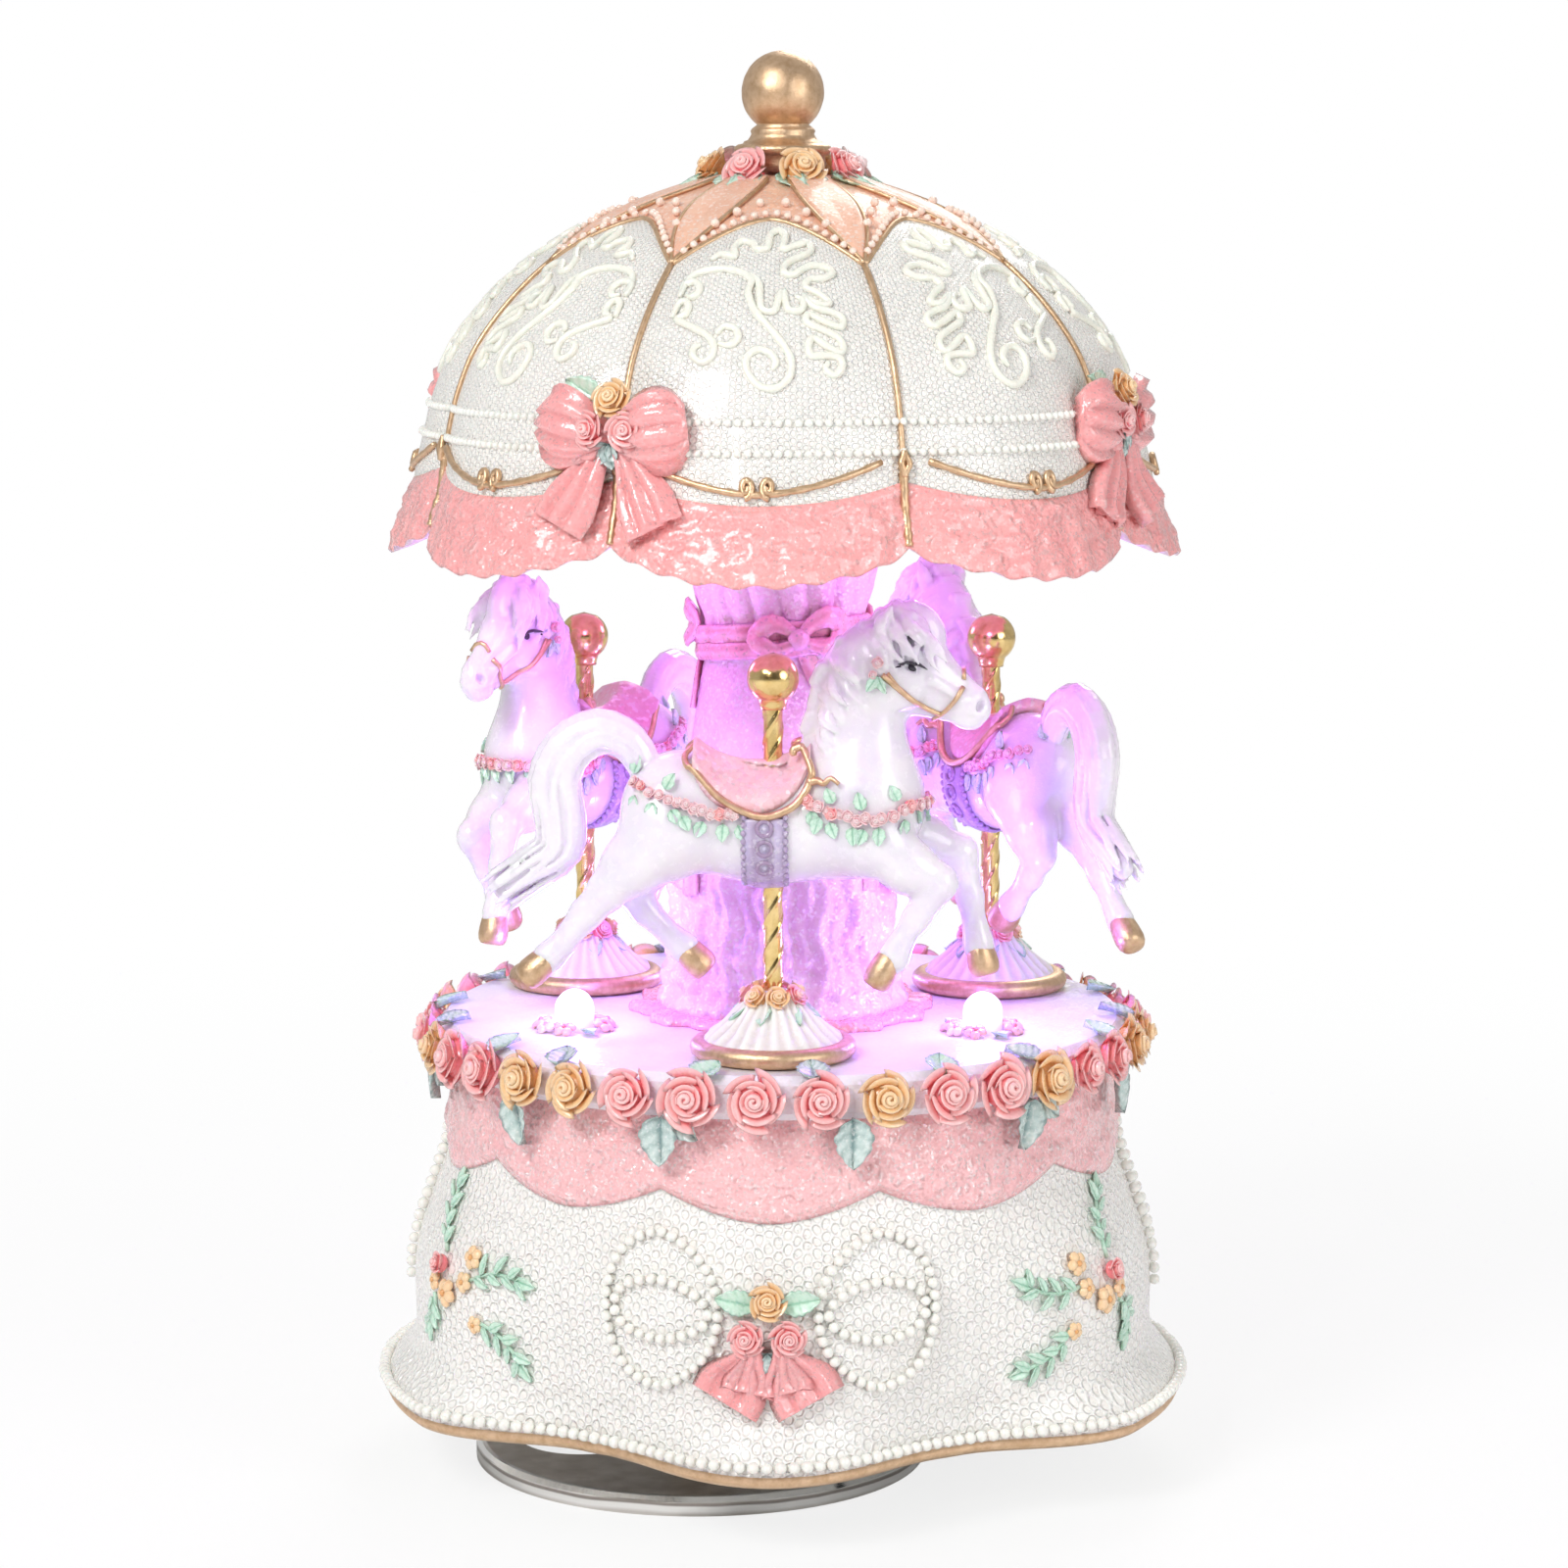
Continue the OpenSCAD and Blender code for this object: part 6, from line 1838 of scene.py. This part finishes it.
def horse_harness(tree):
    """Gold bridle lines and the saddle's crescent trim with its scrolls."""
    piece = Piece("harness", GOLD)
    for s in (-1, 1):
        for line, wide in ((((13.4, 106.9), (15.2, 105.4), (17.3, 103.6), (19.0, 102.5), (20.4, 101.9)),
                            (0.42, 0.3)),
                           (((19.6, 101.2), (20.9, 102.1), (22.0, 103.3), (23.2, 105.2)), (0.25, 0.32)),
                           (((14.0, 107.1), (15.8, 105.0), (18.0, 103.1)), (0.25, 0.2))):
            path, normals = laid(tree, line, s, 0.15)
            piece.tube(path, [lerp(wide[0], wide[1], i / (len(path) - 1)) for i in range(len(path))], 7,
                       normals=normals)
        path, _ = laid(tree, ((-9.6, 94.9), (-6.7, 92.0), (-3.4, 90.2), (-0.6, 89.6), (2.4, 90.6),
                              (4.3, 92.4), (5.0, 93.8)), s, 0.75)
        rear = [Vector((-9.6, s * 2.4, 98.0)), Vector((-10.6, s * 3.4, 96.9)),
                Vector((-10.3, s * 4.6, 95.8))]
        front = [Vector((4.9, s * 4.9, 95.2)), Vector((4.2, s * 3.8, 97.0)), Vector((3.6, s * 3.0, 97.9)),
                 Vector((2.6, s * 3.0, 97.6)), Vector((2.7, s * 3.2, 96.9))]
        path = spline(rear + path[::4] + front, 5)
        count = len(path)
        piece.tube(path, [0.34 + 0.16 * math.sin(math.pi * i / (count - 1))
                          + 0.14 * (abs(i / count - 0.9) < 0.06)
                          for i in range(count)], 8)
        path, _ = laid(tree, ((4.9, 93.6), (5.9, 93.9), (6.7, 93.7), (7.5, 94.3), (8.4, 93.7)), s, 0.7)
        count = len(path)
        piece.tube(path, [lerp(0.55, 0.25, i / (count - 1)) for i in range(count)], 8)
    path = []
    for y in (-1.4, -0.7, 0, 0.7, 1.4):
        hit = tree.ray_cast(Vector((23.3, y, 116)), -UP)[0]
        path.append((hit or Vector((23.3, y, 105))) + UP * 0.12)
    piece.tube(path, 0.3, 6)
    copies(piece.make(slot="gold_paint"), "Horse_harness")


def horse_saddle(tree):
    piece = Piece("saddle", SADDLE, LILAC, GOLD)
    nu, nv = 26, 33

    def lower(x):
        return 97.5 - 7.6 * max(0.0, 1 - ((x + 2.6) / 7.4) ** 2) ** 0.5

    def ridge(x):
        return 94.6 + 2.6 * (abs(x + 2.2) / 7.0) ** 2.2

    def at(i, j):
        x = lerp(-9.6, 4.7, i / (nu - 1))
        top, v = across(j, nv)
        low, high = lower(x), ridge(x) + 0.5
        a = abs(v)
        z = lerp(high, min(low, high - 0.4), a ** 1.4)
        s = 1 if v >= 0 else -1
        hit, _ = body_side(tree, x, min(z, 94.8), s)
        y = hit.y * min(1, a * 1.9) if z > 93.2 else hit.y
        lift = (0.9 if top else -0.4) * (1 - a ** 8) + (0.1 if top else 0)
        if a < 0.5:
            return Vector((x, y, z + lift))
        return Vector((x, y + s * lift, z))

    piece.grid(at, nu, 2 * nv, closed_v=True, shade=lambda i, j: 0.9)
    close_ends(piece, at, nu, 2 * nv)
    for s in (-1, 1):
        path, normals = laid(tree, ((-0.8, 89.4), (-0.8, 86.6), (-0.8, 83.6), (-0.8, 81.6)), s, 0.15, 5)
        band(piece, path, [2.7] * len(path), 0.55, normals, 1, shade=0.9)
        for x in (-3.3, 1.7):
            edge, normals = laid(tree, ((x, 89.6), (x, 86), (x, 83), (x, 81.4)), s, 0.35, 5)
            for q in along(edge, 1.0):
                piece.ball(q, 0.42, 1, rings=5, sides=8, shade=0.35)
        for z in (88.3, 86.0, 83.7):
            q, n = body_side(tree, -0.8, z, s)
            side = Vector((1, 0, 0))
            other = n.cross(side)
            ring = [q + n * 0.72 + (side * math.cos(TAU * m / 16) + other * math.sin(TAU * m / 16)) * 0.9
                    for m in range(16)]
            piece.tube(ring, 0.3, 6, 1, closed=True, shade=0.1)
            piece.ball(q + n * 0.5, 0.42, 1, rings=5, sides=8)
    belly = []
    for k in range(9):
        y = lerp(-3.6, 3.6, k / 8)
        hit = tree.ray_cast(Vector((-0.8, y, 70)), UP)[0]
        belly.append((hit or Vector((-0.8, y, 81))) - Vector((0, 0, 0.1)))
    band(piece, belly, [2.7] * 9, 0.5, [-UP] * 9, 1)
    copies(piece.make(slot="pink_resin"), "Horse_saddle")


def horse_garlands(tree):
    piece = Piece("garlands", ROSE_PALE, LEAF, ROSE_PINK)
    rng = random.Random(5)
    for s in (-1, 1):
        for line, count in ((((4.4, 91.6), (8.0, 90.2), (12.0, 89.6), (16.6, 90.8)), 14),
                            (((-16.4, 93.2), (-12.4, 91.8), (-8.6, 90.4), (-4.6, 89.8)), 13)):
            path, normals = laid(tree, line, s, 0.1, 8)
            for k in range(count):
                m = round(k * (len(path) - 1) / (count - 1))
                p, n = path[m], normals[m]
                rose(piece, p + UP * rng.uniform(-0.25, 0.25), n, UP, rng.uniform(0.85, 1.1),
                     0 if rng.random() < 0.7 else 2, seed=700 + k + int(p.x * 10), layers=2)
                if k % 2 == 0:
                    for lift in ((-1,) if k % 4 or -10.5 < p.x < 5.5 else (-1, 1)):
                        root, out = body_side(tree, p.x + rng.uniform(-0.5, 0.5), p.z + 1.15 * lift, s)
                        leaf(piece, root + out * 0.1, Vector((rng.uniform(-0.6, 0.6), 0, lift)), out,
                             rng.uniform(2.1, 2.5), 1.7, 1, 0.1, 3, 0.4)
        for x, z, r in ((12.9, 108.5, 1.0), (12.2, 106.9, 0.75)):
            p, n = body_side(tree, x, z, s)
            rose(piece, p, n, UP, r, 0, seed=int(z), layers=2)
        for a in (-0.7, 0.5):
            p, n = body_side(tree, 12.9, 106.9, s)
            leaf(piece, p + n * 0.3, Vector((a, 0, -1)), n, 2.4, 1.4, 1, 0.1, 3)
    for k in range(5):
        x = -15.5 + 2.5 * k
        for y in (-2.2, 0, 2.2):
            if (k + int(y)) % 2:
                continue
            hit, n, _, _ = tree.ray_cast(Vector((x, y, 104)), -UP)
            if hit is not None and hit.z < 98.5 and -15 < x < -11:
                rose(piece, hit, UP, Vector((1, 0, 0)), 1.1, 0 if k % 2 else 2, seed=760 + k, layers=2)
                leaf(piece, hit + UP * 0.2, Vector((math.sin(k), math.cos(k), 0.1)), UP, 2.4, 1.4, 1, 0.1, 3)
    path = []
    for k in range(9):
        y = lerp(-4.6, 4.6, k / 8)
        hit, n, _, _ = tree.ray_cast(Vector((30, y, 91.0)), Vector((-1, 0, 0)))
        if hit is not None:
            rose(piece, hit, n if n.x > 0 else -n, UP, 1.15, 0 if k % 3 else 2, seed=780 + k, layers=2)
            if k % 2:
                leaf(piece, hit, Vector((0.2, 0.3, -1)), Vector((1, 0, 0)), 2.6, 1.6, 1, 0.1, 3)
    copies(piece.make(slot="rose_resin"), "Horse_garlands")


def horses():
    mesh = horse_mesh()
    obj = new_object("horse", mesh)
    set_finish(obj, "horse_resin")
    tree = BVHTree.FromPolygons([v.co / MM for v in mesh.vertices],
                                [tuple(p.vertices) for p in mesh.polygons])
    copies(obj, "Horse", "horse")
    horse_hooves()
    horse_eyes(tree)
    horse_harness(tree)
    horse_saddle(tree)
    horse_garlands(tree)


# ---------------------------------------------------------------- coloured light from the lamps
def coloured_lights():
    blue, violet, magenta = (0.3, 0.16, 1.0), (0.5, 0.2, 1.0), (0.8, 0.25, 1.0)
    body = frame["bodies"]["carousel"]
    for k, phi in enumerate(LAMP_PHIS):
        glow_light(f"lamp_glow_{k}", polar(phi, LAMP_RING, LAMP_TOP + 2.5), 2.0, 0.019, blue, body)
        glow_light(f"inner_glow_{k}", polar(phi, 22, 86), 4.0, 0.009, violet, body)
        glow_light(f"roof_glow_{k}", polar(phi, 26, 116), 5.0, 0.008, magenta, body)


# ---------------------------------------------------------------- putting it together
def build():
    dress_cad_nodes()
    make_camera()
    make_studio()
    base_shell()
    base_pearls()
    base_bows()
    base_sprays()
    deck_roses()
    deck_leaves()
    lamp_wreaths()
    canopy_shell()
    canopy_gilding()
    canopy_pearls()
    canopy_lace()
    canopy_bows()
    canopy_wreath()
    finial()
    column()
    column_rug()
    column_ribbons()
    for k in range(3):
        pedestal(k)
        pole(k)
        pole_ball(k)
    horses()
    coloured_lights()
    bpy.context.scene.view_settings.view_transform = "Standard"


build()
